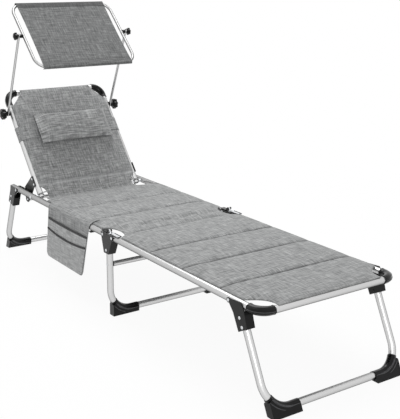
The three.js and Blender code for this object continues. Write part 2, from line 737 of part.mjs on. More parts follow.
const panelDraw = (place, seams) => (panelLoft(place, seams, 1) - channelDepthShare) * drawIn;

function notchHalfWidth(y) {
  const share = (y - notchCentre) / foldNotch.halfLength;
  if (Math.abs(share) >= 1) return Infinity;
  return padHalfWidth - foldNotch.depth * Math.sqrt(1 - share * share);
}

const cornerShares = [0.4, 0.7, 0.88, 1];
const topShares = [0.4, 0.7, 1];
const notchShares = [-1, -0.9, -0.6, 0];
const notchRows = notchShares.map((share) => notchCentre + share * foldNotch.halfLength);

function footPadPiece() {
  const end = foldAt - gap;
  const seams = [footPad.start, ...footSeams, end];
  const halfWidth = (y) => {
    const share = Math.min(1, (y - footPad.start) / footPad.cornerCut);
    const corner = padHalfWidth - footPad.cornerInset * (1 - share ** footPad.cornerPower);
    return Math.min(padHalfWidth - panelDraw(y, seams), corner, notchHalfWidth(y));
  };
  const loft = (y) => panelLoft(y, seams, padLoft) * Math.min(1, (end - y) / foldRamp);
  const cornerRows = cornerShares.map((share) => footPad.start + share * footPad.cornerCut);
  const rows = quiltRows(seams, [...notchRows, ...cornerRows, end - foldRamp]);
  return quilt(rows, halfWidth, () => padBase, () => clothThickness, loft);
}

function seatPadPiece() {
  const start = foldAt + gap;
  const seams = [start, ...seatSeams, seatRidge];
  const flapShare = (y) => Math.max(0, (y - seatRidge) / (seatFlap.endY - seatRidge));
  const endZ = railHeight - seatFlap.endDrop;
  const base = (y) => padBase + flapShare(y) * (endZ - padBase);
  const halfWidth = (y) => {
    const side = padHalfWidth - panelDraw(Math.min(y, seatRidge), seams);
    const narrowed = Math.min(1, flapShare(y) / seatFlap.narrowShare);
    return Math.min(side, notchHalfWidth(y)) + narrowed * (backX - seatFlap.inset - padHalfWidth);
  };
  const loft = (y) =>
    (y > seatRidge ? padLoft * channelDepthShare : panelLoft(y, seams, padLoft)) *
    Math.min(1, (y - start) / foldRamp) * (1 - flapShare(y));
  const flapRows = [1 / 3, 2 / 3, 1].map((share) => seatRidge + share * (seatFlap.endY - seatRidge));
  const mirrored = notchRows.map((y) => 2 * notchCentre - y).filter((y) => y > start);
  const rows = quiltRows(seams, [...mirrored, start + foldRamp, ...flapRows]);
  return quilt(rows, halfWidth, base, () => clothThickness, loft);
}

function backPadPiece() {
  const seams = [...backSeams, backPadEnd];
  const base = () => tubeRadius + gap;
  const full = backX - backPad.sideInset;
  const halfWidth = (t) => {
    const lowerSpan = backPad.lowerEnd - backPad.start;
    const lowerShare = THREE.MathUtils.clamp((t - backPad.start) / lowerSpan, 0, 1);
    const lower = full - (backPad.lowerInset - backPad.sideInset) * (1 - lowerShare ** backPad.lowerPower);
    const topShare = THREE.MathUtils.clamp((backPadEnd - t) / backPad.topCut, 0, 1);
    const upper = full - (backPad.topInset - backPad.sideInset) * (1 - topShare ** backPad.topPower);
    return Math.min(lower, upper);
  };
  const loft = (t) => {
    const flapShare = (t - backPad.start) / (backSeams[0] - backPad.start);
    return flapShare < 1 ? padLoft * channelDepthShare * flapShare : panelLoft(t, seams, padLoft);
  };
  const topRows = topShares.map((share) => backPadEnd - share * backPad.topCut);
  const rows = quiltRows(seams, [backPad.start, 0, backPad.lowerEnd, ...topRows]);
  return quilt(rows, halfWidth, base, () => clothThickness, loft);
}

// Head pillow: two crowned faces that meet in a seam, with its sides drawn in between the corners
function pillowPiece() {
  const halfX = (pillow.right - pillow.left) / 2;
  const halfT = pillow.height / 2;
  const lift = pillow.thickness * pillow.backShare;
  const seamZ = tubeRadius + gap + clothThickness + padLoft + band.thickness + 3 * gap + lift;
  const positions = [];
  const place = (u, v, side) => {
    const dome = Math.sqrt((1 - u ** edgePower) * (1 - v ** pillow.facePower));
    const x = (pillow.left + pillow.right) / 2 + u * (halfX - pillow.drawIn * (1 - v * v));
    const endDraw = pillow.drawIn * pillow.endDrawShare * (1 - u * u);
    const t = (pillowBottom + pillowTop) / 2 + v * (halfT - endDraw);
    const depth = side > 0 ? pillow.thickness - lift : lift;
    return [x, t, seamZ + side * dome * depth];
  };
  const corners = [[0, 0], [1, 0], [1, 1], [0, 1]];
  const triangle = (a, b, c) => positions.push(...a, ...b, ...c);
  for (const side of [1, -1])
    for (let i = 0; i + 1 < wideShares.length; i++)
      for (let j = 0; j + 1 < tallShares.length; j++) {
        const [a, b, c, d] = corners.map(([di, dj]) => place(wideShares[i + di], tallShares[j + dj], side));
        if (side > 0) (triangle(a, b, c), triangle(a, c, d));
        else (triangle(a, c, b), triangle(a, d, c));
      }
  const geometry = new THREE.BufferGeometry();
  geometry.setAttribute("position", new THREE.BufferAttribute(new Float32Array(positions), 3));
  return geometryOf(solidOf(geometry));
}

// The band is a flat loop round the backrest
function bandPiece() {
  const inX = backX + tubeRadius + gap;
  const front = tubeRadius + 2 * gap + clothThickness + padLoft;
  const back = -tubeRadius - gap;
  const loop = (grow, direction) => {
    const slope = tubeRadius;
    const corners = [
      [inX + grow, back - grow], [inX + grow, tubeRadius + grow], [inX - slope, front + grow],
      [slope - inX, front + grow], [-inX - grow, tubeRadius + grow], [-inX - grow, back - grow],
    ];
    return (direction > 0 ? corners : corners.reverse()).map(([x, z]) => new THREE.Vector2(x, -z));
  };
  const shape = new THREE.Shape(loop(band.thickness, 1));
  shape.holes.push(new THREE.Path(loop(0, -1)));
  const depth = pillow.height - band.aboveBottom - band.belowTop;
  const geometry = new THREE.ExtrudeGeometry(shape, { depth, bevelEnabled: false });
  return geometry.rotateX(-Math.PI / 2).translate(0, pillowBottom + band.aboveBottom, 0);
}

// Side pocket: flat layers outside the near rail, the backing with a flap over the rail
function pocketLayer(level, topZ) {
  const x0 = -(pocketX + level * pocket.spacing);
  const { bottomZ, cornerRadius, footBottomY, headBottomY } = pocket;
  const footAt = (z) => THREE.MathUtils.mapLinear(z, railHeight, bottomZ, pocket.footY, footBottomY);
  const headAt = (z) => THREE.MathUtils.mapLinear(z, railHeight, bottomZ, pocket.headY, headBottomY);
  const sag = level * pocket.sagShare * (topZ - bottomZ);
  const cornerZ = bottomZ + cornerRadius;
  const shape = new THREE.Shape();
  shape.moveTo(footAt(topZ), topZ);
  shape.lineTo(footBottomY, bottomZ);
  shape.lineTo(headBottomY - cornerRadius, bottomZ);
  shape.quadraticCurveTo(headBottomY, bottomZ, headAt(cornerZ), cornerZ);
  shape.lineTo(headAt(topZ), topZ);
  shape.quadraticCurveTo((footAt(topZ) + headAt(topZ)) / 2, topZ - 2 * sag, footAt(topZ), topZ);
  return plateX(shape, x0, x0 - pocket.layer);
}

function pocketBack() {
  const topZ = padBase + pocket.layer;
  const [outer, inner] = [pocketX + pocket.layer, padHalfWidth + gap];
  const flap = new THREE.BoxGeometry(outer - inner, pocket.headY - pocket.footY, pocket.layer);
  flap.translate(-(outer + inner) / 2, (pocket.headY + pocket.footY) / 2, padBase + pocket.layer / 2);
  return join([pocketLayer(0, topZ), flap]);
}

// Canopy arms: flat oval tube from the backrest to the canopy
function armPiece() {
  const flat = (arm.width - arm.thickness) / 2;
  const oval = (inset) => {
    const r = arm.thickness / 2 - inset;
    const end = (direction) =>
      [-1, -0.5, 0, 0.5, 1].map((share) => {
        const angle = (direction > 0 ? 0 : Math.PI) + (share * Math.PI) / 2;
        return new THREE.Vector2(direction * flat + r * Math.cos(angle), r * Math.sin(angle));
      });
    return [...end(1), ...end(-1)];
  };
  const shape = new THREE.Shape(oval(0));
  shape.holes.push(new THREE.Path(oval(arm.wall)));
  const length = arm.length + 2 * arm.overhang;
  const tube = new THREE.ExtrudeGeometry(shape, { depth: length, bevelEnabled: false });
  tube.applyMatrix4(new THREE.Matrix4().makeBasis(point(0, 0, -1), point(1, 0, 0), point(0, -1, 0)));
  tube.translate(armX, arm.length + arm.overhang, 0);
  const reach = arm.thickness;
  return cut(tube, [
    drillX(armX - reach, armX + reach, 0, 0, lowerKnob.studHole),
    drillX(armX - reach, armX + reach, arm.length, 0, upperKnob.studHole),
  ]);
}

// A spacer between the backrest tube and the arm, with a hole for the knob's stud
function armSpacer() {
  const [inner, outer] = [backX + tubeRadius + gap, armX - arm.thickness / 2 - gap];
  const hole = drillX(inner - overrun, outer + overrun, armPivot, 0, lowerKnob.studHole);
  return cut(drillX(inner, outer, armPivot, 0, lowerSpacerRadius), [hole]);
}

// Star knob with its stud, on the X axis: the stud runs inwards to studEnd
function knob(kind, studEnd) {
  const start = armX + arm.thickness / 2 + gap;
  const face = start + kind.hubLength;
  const points = kind.lobes * 4;
  const star = Array.from({ length: points }, (_, i) => {
    const angle = (2 * Math.PI * i) / points;
    const radius = kind.radius - kind.lobeDepth * (1 - Math.cos(kind.lobes * angle));
    return [radius * Math.cos(angle), radius * Math.sin(angle)];
  });
  const hub = turnedX(
    [[studEnd, 0], [studEnd, kind.studRadius], [start, kind.studRadius], [start, kind.hubRadius],
      [face + gap, kind.hubRadius * knobFlareShare], [face + gap, 0]],
    bolt.sides,
  );
  const end = face + kind.grip;
  const dome = turnedX(
    [[end - gap, 0], [end - gap, kind.hubRadius * knobDome.footShare],
      [end + knobDome.height, kind.hubRadius * knobDome.topShare], [end + knobDome.height, 0]],
    bolt.sides,
  );
  return join([hub, plateX(star, face, end), dome]);
}

// Canopy, in its own plane: local Y runs from the front edge to the rear edge, local Z is its upper side
function canopyFrame() {
  const { halfLength } = canopy;
  const path = bentPath(
    [
      point(gap, halfLength, 0), point(canopyX, halfLength, 0), point(canopyX, -halfLength, 0),
      point(-canopyX, -halfLength, 0), point(-canopyX, halfLength, 0), point(-gap, halfLength, 0),
    ],
    canopy.bendRadius,
  );
  const loop = tubeAlong(path, canopy.tubeRadius, 0, boreSides);
  const hubEnd = armX - arm.thickness / 2 - gap;
  const across = (side, x0, x1, radius) => rod(point(side * x0, 0, 0), point(side * x1, 0, 0), radius);
  const hubs = [-1, 1].map((side) => across(side, canopyX - canopy.hub, hubEnd, canopyHubRadius));
  const drills = [-1, 1].map((side) =>
    across(side, canopyX - canopy.hub - overrun, hubEnd + overrun, upperKnob.studHole),
  );
  return cut(join([loop, ...hubs]), [tubeAlong(path, canopy.bore, 0, boreSides), ...drills]);
}

// Canopy cloth: a sheet above the frame, turned under its front and rear tubes
function canopyClothPiece() {
  const r = canopy.tubeRadius + gap;
  const wrap = (grow) => {
    const arc = Array.from({ length: wrapSteps + 1 }, (_, k) => {
      const angle = Math.PI / 2 - (k * Math.PI) / wrapSteps;
      return [canopy.halfLength + (r + grow) * Math.cos(angle), (r + grow) * Math.sin(angle)];
    });
    return [...arc, [canopy.halfLength - canopy.sleeveReach, -r - grow]];
  };
  const cover = (grow) =>
    Array.from({ length: 2 * canopy.clothSteps + 1 }, (_, k) => {
      const share = k / canopy.clothSteps - 1;
      return [share * canopy.halfLength, r + grow];
    });
  const mirror = (points) => points.map(([y, z]) => [-y, z]).reverse();
  const sleeveX = canopyX - canopy.sleeveInset;
  const skin = (grow) => [...mirror(wrap(grow)), ...cover(grow).slice(1, -1), ...wrap(grow)];
  const sleeves = plateX([...skin(canopy.cloth), ...skin(0).reverse()], -sleeveX, sleeveX);
  const width = 2 * (canopyX - canopy.clothInset);
  const sheet = new THREE.BoxGeometry(width, 2 * canopy.halfLength, canopy.cloth);
  return join([sleeves, sheet.translate(0, 0, r + canopy.cloth / 2)]);
}

// Assembly
const lounger = new THREE.Group();
const seat = new THREE.Group();
const foot = new THREE.Group();
lounger.add(seat, foot);

pair(seat, "seat_rail", seatRail(), aluminium);
pair(seat, "seat_rail_cap", railCap(railEnd - capThickness, 1), plastic);
pair(seat, "seat_hinge_leaf", hingeLeaf(1), plastic);
pair(seat, "middle_bracket", middleBracketPiece(), plastic);
pair(seat, "rear_leg_pivot", pivotRivet(rearBracket), steel);
pair(seat, "recline_bolt", reclineBolt(), steel);
pair(seat, "recline_pawl", pawlPiece(), plastic);
piece(seat, "seat_quilt", seatPadPiece(), seatCloth);
piece(seat, "pocket_backing", pocketBack(), seatCloth);
piece(seat, "pocket_large", pocketLayer(1, pocket.largeTopZ), seatCloth);
piece(seat, "pocket_small", pocketLayer(2, pocket.smallTopZ), seatCloth);
pair(seat, "rear_bracket", swingBracket(rearBracket, rearLeg, 1), plastic);

piece(foot, "foot_frame", footFrame(), aluminium);
pair(foot, "foot_elbow", footElbow(), plastic);
pair(foot, "foot_hinge_leaf", hingeLeaf(-1), aluminium);
pair(foot, "foot_leg_pivot", pivotRivet(footBracket), steel);
piece(foot, "foot_quilt", footPadPiece(), seatCloth);
pair(foot, "foot_bracket", swingBracket(footBracket, footLeg, -1), plastic);

for (const [name, leg, holes] of [
  ["foot", footLeg, bracketRivetDrops],
  ["middle", middleLeg, [railHeight - middleLeg.pivotZ, railHeight - braceHeight]],
  ["rear", rearLeg, bracketRivetDrops],
]) {
  const frame = legFrame(leg);
  lounger.add(frame);
  piece(frame, `${name}_leg`, legTube(leg, holes), aluminium);
  pair(frame, `${name}_boot`, boot(leg), plastic);
  if (name === "middle") piece(frame, "middle_brace", middleBrace(), aluminium);
}

const backrest = new THREE.Group();
backrest.position.set(0, backAxis.y, backAxis.z);
backrest.rotation.x = radians(backTilt);
lounger.add(backrest);
piece(backrest, "backrest_frame", backFrame(), aluminium);
pair(backrest, "back_elbow", backElbow(), plastic);
pair(backrest, "ratchet_plate", ratchetPlate(), plastic);
piece(backrest, "ratchet_tie_tube", tieTube(), aluminium);
piece(backrest, "back_quilt", backPadPiece(), backCloth);
piece(backrest, "pillow", pillowPiece(), backCloth);
piece(backrest, "pillow_band", bandPiece(), bandCloth);

const arms = new THREE.Group();
arms.position.y = armPivot;
arms.rotation.x = radians(arm.angle - backTilt);
backrest.add(arms);
pair(backrest, "arm_spacer", armSpacer(), plastic);
pair(arms, "canopy_arm", armPiece(), aluminium);
pair(arms, "lower_knob", knob(lowerKnob, backX - tubeRadius), plastic);
const canopyGroup = new THREE.Group();
canopyGroup.position.y = arm.length;
canopyGroup.rotation.x = radians(canopy.tilt - arm.angle);
arms.add(canopyGroup);
pair(canopyGroup, "upper_knob", knob(upperKnob, canopyX - canopy.hub), plastic);
piece(canopyGroup, "canopy_frame", canopyFrame(), aluminium);
piece(canopyGroup, "canopy_cloth", canopyClothPiece(), canopyCloth);

// The part's origin is under the middle of its box, on the ground
lounger.updateMatrixWorld(true);
const box = new THREE.Box3().setFromObject(lounger, true);
const centre = box.getCenter(new THREE.Vector3());
lounger.position.set(-centre.x, -centre.y, -box.min.z);
lounger.updateMatrixWorld(true);

export default lounger;
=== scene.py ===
"""Folding sun lounger with a tilting canopy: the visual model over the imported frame.

Sizes are millimetres in the lounger's own drawing: X across, Y from the foot crossbar to the
head end, Z up from the ground. metres() turns them into the frame's metres.
"""
from math import atan2, copysign, cos, degrees, exp, hypot, pi, radians, sin, sqrt, tan

import bmesh
import bpy
from mathutils import Matrix, Vector, noise


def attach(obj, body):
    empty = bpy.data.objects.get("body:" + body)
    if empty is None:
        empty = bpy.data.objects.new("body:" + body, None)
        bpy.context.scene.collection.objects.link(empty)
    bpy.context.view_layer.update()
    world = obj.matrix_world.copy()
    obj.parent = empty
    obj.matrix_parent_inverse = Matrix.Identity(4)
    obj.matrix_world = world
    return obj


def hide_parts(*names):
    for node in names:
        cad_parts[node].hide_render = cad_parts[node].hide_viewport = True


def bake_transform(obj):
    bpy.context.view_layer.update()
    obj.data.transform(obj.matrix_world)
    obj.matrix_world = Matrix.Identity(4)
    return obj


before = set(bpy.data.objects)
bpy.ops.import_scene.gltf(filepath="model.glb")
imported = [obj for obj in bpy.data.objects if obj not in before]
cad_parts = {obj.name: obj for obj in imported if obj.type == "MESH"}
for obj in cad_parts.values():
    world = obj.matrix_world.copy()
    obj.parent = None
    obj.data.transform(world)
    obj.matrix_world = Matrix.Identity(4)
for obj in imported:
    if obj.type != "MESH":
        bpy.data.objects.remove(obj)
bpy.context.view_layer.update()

# Sizes shared with the frame
ORIGIN_Y = 934.018  # the frame's origin, in the drawing
TUBE = 12.5  # outer radius of the frame tube
WALL = 1.5
GAP = 0.3  # left between pieces that touch
RAIL_X = 280.0
RAIL_Z = 323.0
RAIL_END = 1804.0
FOLD_Y = 909.0
FOOT_BEND = 44.0
LEG_BEND = 87.0
FLOOR_BAR_Z = 18.0
PAD_Z = RAIL_Z + TUBE + GAP  # underside of the quilts
BACK_X = 242.0
BACK_Y = 1591.5
BACK_TILT = 50.4
BACK_LENGTH = 526.0
BACK_BEND = 46.0
ARM_X = 262.6
ARM_PIVOT = 424.0
ARM_LENGTH = 391.0
ARM_ANGLE = 114.1
ARM_SIDE = 4.05  # from an arm's middle to what lies beside it
CANOPY_TILT = 43.3
CANOPY_HALF = 180.5
CANOPY_SIDE = 241.0
CANOPY_BEND = 55.0
CANOPY_TUBE = 6.0
BOOT_END = RAIL_X - 4 - 114  # inner end of a boot, along the floor bar
POCKET_X = 294.5  # how far out the side pocket hangs
POCKET_FOOT = 104.0  # height of its lower edge

# Sizes of the scene alone
SEAMS = [-6, 204, 418, 623, 848, 1076, 1256, 1446]  # across the lying quilt
QUILT_HALF = 279.0  # half the width of the lying quilt
CLOTH = 2.4
RIVET_HEAD = (5.6, 2.3)  # radius and height
SLEEVE = 14.8  # outer radius of an elbow sleeve
RIBBED_SIDES = 48


def metres(place, point):
    x, y, z = place @ Vector(point)
    return Vector((x, y - ORIGIN_Y, z)) / 1000


def plane_at(y, z, tilt):
    return Matrix.Translation((0, y, z)) @ Matrix.Rotation(radians(tilt), 4, "X")


def leg_plane(top_y, floor_y):
    """The plane of a leg that hangs from the rail, and its length down to the floor bar."""
    drop = RAIL_Z - FLOOR_BAR_Z
    lean = degrees(atan2(floor_y - top_y, drop))
    return plane_at(top_y, RAIL_Z, lean), hypot(floor_y - top_y, drop)


def new_object(name, data):
    made = bpy.data.objects.new(name, data)
    bpy.context.scene.collection.objects.link(made)
    return made


ROW = Matrix.Identity(4)
BACK = plane_at(BACK_Y, RAIL_Z, BACK_TILT)
ARMS = BACK @ plane_at(ARM_PIVOT, 0, ARM_ANGLE - BACK_TILT)
CANOPY = ARMS @ plane_at(ARM_LENGTH, 0, CANOPY_TILT - ARM_ANGLE)
LEGS = {"foot": leg_plane(101, -48), "middle": leg_plane(910, 910), "rear": leg_plane(1781, 1914)}


# ---------------- camera
# The photograph's view: from the foot end and the pocket side, a little above the lounger.
camera_data = bpy.data.cameras.new("view")
camera_data.lens = 75.64
camera_data.sensor_width = 36
camera_data.shift_x = 0.0002
camera_data.shift_y = -0.0038
camera = new_object("view", camera_data)
camera.location = metres(ROW, (-1815.3, -1876.1, 1324.8))
yaw, pitch, roll = (radians(a) for a in (34.996, 15.708, 0.447))
camera.rotation_euler = (
    Matrix.Rotation(-yaw, 3, "Z")
    @ Matrix.Rotation(pi / 2 - pitch, 3, "X")
    @ Matrix.Rotation(roll, 3, "Z")
).to_euler()
camera_data.clip_start, camera_data.clip_end = 0.05, 60
bpy.context.scene.camera = camera


# ---------------- materials
def linear(colour):
    """sRGB hex to Blender's linear colour."""
    parts = [int(colour[i:i + 2], 16) / 255 for i in (0, 2, 4)]
    return (*[c / 12.92 if c <= 0.04045 else ((c + 0.055) / 1.055) ** 2.4 for c in parts], 1.0)


def add(tree, kind, inputs=None, stops=(), **settings):
    """A node with its settings and links, and for a colour ramp its (place, hex) stops.

    An input that is a node takes that node's first output, a socket is linked, and any other
    value is set."""
    made = tree.nodes.new("ShaderNode" + kind)
    for name, value in settings.items():
        setattr(made, name, value)
    for name, value in (inputs or {}).items():
        if isinstance(value, bpy.types.Node):
            value = value.outputs[0]
        if isinstance(value, bpy.types.NodeSocket):
            tree.links.new(value, made.inputs[name])
        else:
            made.inputs[name].default_value = value
    if stops:
        band = made.color_ramp.elements
        band[0].position, band[0].color = stops[0][0], linear(stops[0][1])
        band[1].position, band[1].color = stops[-1][0], linear(stops[-1][1])
        for place, colour in stops[1:-1]:
            band.new(place).color = linear(colour)
    return made


def new_material(name, surface, *details):
    """A material whose surface function adds its patterns and gives the shader's inputs."""
    made = bpy.data.materials.new(name)
    made.use_nodes = True
    tree = made.node_tree
    tree.nodes.clear()
    shader = surface(tree, *details)
    if isinstance(shader, dict):
        shader = add(tree, "BsdfPrincipled", shader)
    add(tree, "OutputMaterial", {"Surface": shader})
    return made


def spread(tree, source, scale, detail=2.0, rough=0.5):
    """Noise over the piece, with the scale given for X, Y and Z."""
    stretched = add(tree, "Mapping", {"Vector": source, "Scale": scale})
    settings = {"Vector": stretched, "Scale": 1.0, "Detail": detail, "Roughness": rough}
    return add(tree, "TexNoise", settings)


def anodised_aluminium(tree, painted_edge_shade):
    # Drawn tube, brushed along its length and satin anodised: bright, with soft stretched
    # highlights. The grey coat tint and the dark specular tint darken the tube the more slantwise
    # it is seen, which draws its edges: a painted dark reflection.
    cut = add(tree, "UVMap", uv_map="cut")
    drawn = spread(tree, cut, (2500, 25, 1), 3)  # 0.4 mm lines, some 40 mm long
    patches = spread(tree, cut, (40, 12, 1))
    both = add(tree, "Math", {0: drawn, 1: patches}, operation="ADD")
    rough = add(tree, "MapRange",
                {"Value": both, "From Min": 0.6, "From Max": 1.4, "To Min": 0.28, "To Max": 0.4})
    bump = add(tree, "Bump", {"Height": drawn, "Distance": 0.02 / 1000, "Strength": 0.3})
    return {
        "Base Color": linear("fafafa"), "Metallic": 1.0, "Specular Tint": linear("787878"),
        "Coat Weight": 1.0, "Coat IOR": 1.03, "Coat Roughness": 0.2, "Coat Tint": linear(painted_edge_shade),
        "Roughness": rough, "Normal": bump,
    }


def zinc_plated_steel(tree):
    # Rivets and bolts, zinc plated: greyer and a little rougher than the tube.
    place = add(tree, "TexCoord").outputs["Object"]
    grains = spread(tree, place, (900, 900, 900))
    rough = add(tree, "MapRange",
                {"Value": grains, "From Min": 0.3, "From Max": 0.7, "To Min": 0.28, "To Max": 0.46})
    bump = add(tree, "Bump", {"Height": grains, "Distance": 0.03 / 1000, "Strength": 0.3})
    return {"Base Color": linear("d3d5d7"), "Metallic": 1.0, "Roughness": rough, "Normal": bump}


def moulded_polypropylene(tree, dark, light):
    # Injection moulded with a fine grain: near black, its rounded edges catch long highlights.
    place = add(tree, "TexCoord").outputs["Object"]
    moulding = spread(tree, place, (1600, 1600, 1600))  # 0.6 mm grain
    flow = spread(tree, place, (45, 45, 45), 3)
    colour = add(tree, "ValToRGB", {"Fac": flow}, [(0.3, dark), (0.7, light)])
    rough = add(tree, "MapRange",
                {"Value": flow, "From Min": 0.3, "From Max": 0.7, "To Min": 0.28, "To Max": 0.4})
    bump = add(tree, "Bump", {"Height": moulding, "Distance": 0.05 / 1000, "Strength": 0.3})
    return {
        "Base Color": colour, "IOR": 1.49, "Specular IOR Level": 0.1, "Coat Weight": 0.8,
        "Coat IOR": 1.24, "Coat Roughness": 0.14, "Roughness": rough, "Normal": bump,
    }


def slub_weave(tree, dark, middle, light, seam, weft_share=0.5):
    # Plain weave of uneven polyester yarn, as in linen: light and dark dashes run both ways. The
    # real yarn is some 0.5 mm thick; its slubs are drawn 5 mm wide and 50 mm long so they show.
    cut = add(tree, "UVMap", uv_map="cut")
    warp = spread(tree, cut, (200, 20, 1), 3, 0.65)
    weft = spread(tree, cut, (17, 190, 1), 3, 0.65)
    knots = spread(tree, cut, (650, 650, 1), 1)
    slubs = 0.0
    for yarn, share in ((warp, 0.84 * (1 - weft_share)), (weft, 0.84 * weft_share), (knots, 0.16)):
        slubs = add(tree, "Math", {0: yarn, 1: share, 2: slubs}, operation="MULTIPLY_ADD")
    cloth = add(tree, "ValToRGB", {"Fac": slubs}, [(0.36, dark), (0.5, middle), (0.64, light)])
    # Along its sewn channels and hems the piece's seam layer mixes in the seam colour: painted
    # shade in the creases, a painted highlight on the backrest's seam ridge, a darker band over the
    # canopy's hems
    painted_seam_shading = add(tree, "Attribute", attribute_name="seam").outputs["Fac"]
    mixed = add(tree, "Mix", {"Factor": painted_seam_shading, "A": cloth, "B": linear(seam)}, data_type="RGBA")
    # The interlacing: ridges 2.4 mm apart both ways, with the yarn's slubs on top
    wave = {"Vector": cut, "Scale": 130.0, "Distortion": 0.6, "Detail": 1.0}
    over, under = (add(tree, "TexWave", wave, bands_direction=way).outputs["Fac"] for way in "XY")
    height = add(tree, "Math", {0: over, 1: under, 2: slubs}, operation="MULTIPLY_ADD")
    bump = add(tree, "Bump", {"Height": height, "Distance": 0.3 / 1000, "Strength": 0.45})
    return {
        "Base Color": mixed.outputs["Result"], "Roughness": 0.88, "IOR": 1.45,
        "Specular IOR Level": 0.2, "Sheen Weight": 0.08, "Sheen Roughness": 0.5, "Normal": bump,
    }


def ribbed_tape(tree):
    # Woven binding tape, folded over the pocket edges: black with cross ribs 1.2 mm apart.
    cut = add(tree, "UVMap", uv_map="cut")
    wave = add(tree, "TexWave", {"Vector": cut, "Scale": 260.0, "Distortion": 0.3},
               bands_direction="Y")
    ribs = wave.outputs["Fac"]
    colour = add(tree, "ValToRGB", {"Fac": ribs}, [(0.2, "0c0c0d"), (0.8, "1e1e20")])
    bump = add(tree, "Bump", {"Height": ribs, "Distance": 0.2 / 1000, "Strength": 0.5})
    return {"Base Color": colour, "Roughness": 0.75, "Sheen Weight": 0.1, "Normal": bump}


def pillow_mouth_painted_shade(tree):
    # Near-black fibrous sheet set a little inside the pillow's open end: painted shade of its
    # inside.
    place = add(tree, "TexCoord").outputs["Object"]
    fibres = spread(tree, place, (500, 900, 900), 4)
    colour = add(tree, "ValToRGB", {"Fac": fibres}, [(0.3, "141416"), (0.7, "303033")])
    bump = add(tree, "Bump", {"Height": fibres, "Distance": 0.4 / 1000, "Strength": 0.5})
    return {"Base Color": colour, "Roughness": 0.95, "Normal": bump}


ALUMINIUM = new_material("anodised_aluminium", anodised_aluminium, "dedede")
# The canopy loop's copy has a darker coat tint: a stronger painted dark reflection on its edges
THIN_ALUMINIUM = new_material("anodised_aluminium_canopy", anodised_aluminium, "b4b4b4")
STEEL = new_material("zinc_plated_steel", zinc_plated_steel)
PLASTIC = new_material("moulded_polypropylene", moulded_polypropylene, "030303", "09090a")
RIB_HIGHLIGHT_PLASTIC = new_material("moulded_polypropylene_painted_highlight", moulded_polypropylene,
                              "3e3e40", "525254")  # the raised ribs, painted lighter grey: a painted highlight
# The fourth colour is the seam colour, which a piece's seam layer mixes in: painted shade in the
# seat's and canopy's seams, a painted highlight on the backrest's seam. The pillow and pocket
# weaves are lighter copies of the one fabric, painted light; the canopy's is a darker copy, painted
# shade.
SEAT_WEAVE, BACK_WEAVE, PILLOW_WEAVE_PAINTED_LIGHT, POCKET_WEAVE_PAINTED_LIGHT, CANOPY_WEAVE_PAINTED_SHADE = (
    new_material(name, slub_weave, *colours) for name, *colours in (
        ("slub_weave", "676869", "939494", "bdbebe", "39393a"),
        ("slub_weave_back", "626364", "939494", "c3c4c4", "c8c9ca"),
        ("slub_weave_pillow", "636464", "9c9d9d", "d2d3d3", "39393a", 0.68),
        ("slub_weave_pocket", "808181", "a8a9a9", "cccdcd", "39393a"),
        ("slub_weave_shade", "4c4d4d", "6f7070", "929393", "343435"),
    ))
TAPE = new_material("ribbed_binding_tape", ribbed_tape)
MOUTH_PAINTED_SHADE = new_material("pillow_mouth_painted_shade", pillow_mouth_painted_shade)

# The slot that a material fills, unless its piece names another
SLOTS = {
    "aluminium_tube": (ALUMINIUM, THIN_ALUMINIUM), "steel_fastener": (STEEL,),
    "black_plastic": (PLASTIC, RIB_HIGHLIGHT_PLASTIC), "seat_fabric": (SEAT_WEAVE, POCKET_WEAVE_PAINTED_LIGHT, TAPE),
    "backrest_fabric": (BACK_WEAVE, PILLOW_WEAVE_PAINTED_LIGHT, MOUTH_PAINTED_SHADE), "canopy_fabric": (CANOPY_WEAVE_PAINTED_SHADE,),
}
SLOT_OF = {material.name: slot for slot, group in SLOTS.items() for material in group}
HARD_SLOTS = ("aluminium_tube", "steel_fastener", "black_plastic")


# ---------------- mesh tools
def dress(name, mesh, material, body, stands_for, slot, sharp):
    """Makes the mesh a visible piece that rides on its body."""
    slot = slot or SLOT_OF[material.name]
    sharp = sharp or (35 if slot in HARD_SLOTS else 60)
    mesh.polygons.foreach_set("use_smooth", [True] * len(mesh.polygons))
    mesh.set_sharp_from_angle(angle=radians(sharp))
    mesh.materials.append(material)
    piece = new_object(name, mesh)
    if body:
        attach(piece, body)
    if stands_for:
        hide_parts(*stands_for)
    return piece


def build(name, parts, material, body, place=ROW, stands_for=(), slot=None, sharp=None, seam=None):
    """A piece from (points, faces, cut) parts; cut lays each point out flat, in metres."""
    points, faces, laid = [], [], []
    for part_points, part_faces, part_cut in parts:
        offset = len(points)
        points += [metres(place, p) for p in part_points]
        faces += [[i + offset for i in face] for face in part_faces]
        girth = max(u for u, _ in part_cut) - min(u for u, _ in part_cut)
        for face in part_faces:
            # The face that closes a ring starts where the one before it ended
            across = [part_cut[i][0] for i in face]
            closes = len(face) < 5 and max(across) - min(across) > girth * 0.7 > 0
            start = min(across) + girth / 2
            laid += [(u + girth if closes and u < start else u, v)
                     for u, v in (part_cut[i] for i in face)]
    mesh = bpy.data.meshes.new(name)
    mesh.from_pydata(points, [], faces)
    layer = mesh.uv_layers.new(name="cut")
    layer.data.foreach_set("uv", [value for pair in laid for value in pair])
    # The seam layer: how much of the weave's painted seam shading each point takes
    if seam:
        mesh.attributes.new("seam", "FLOAT", "POINT").data.foreach_set("value", seam)
    mesh.validate()
    return dress(name, mesh, material, body, stands_for, slot, sharp)


def mirrored(part):
    points, faces, cut = part
    return [(-x, y, z) for x, y, z in points], [face[::-1] for face in faces], cut


def both_sides(name, parts, material, body, place=ROW, extra=False):
    """A piece on the +X side and its mirror on the pocket side; an extra one replaces no node."""
    for side, made in (("right", parts), ("left", [mirrored(p) for p in parts])):
        stands_for = () if extra else (f"{name}_{side}",)
        build(f"{name}_trim_{side}", made, material, body.format(side), place, stands_for)


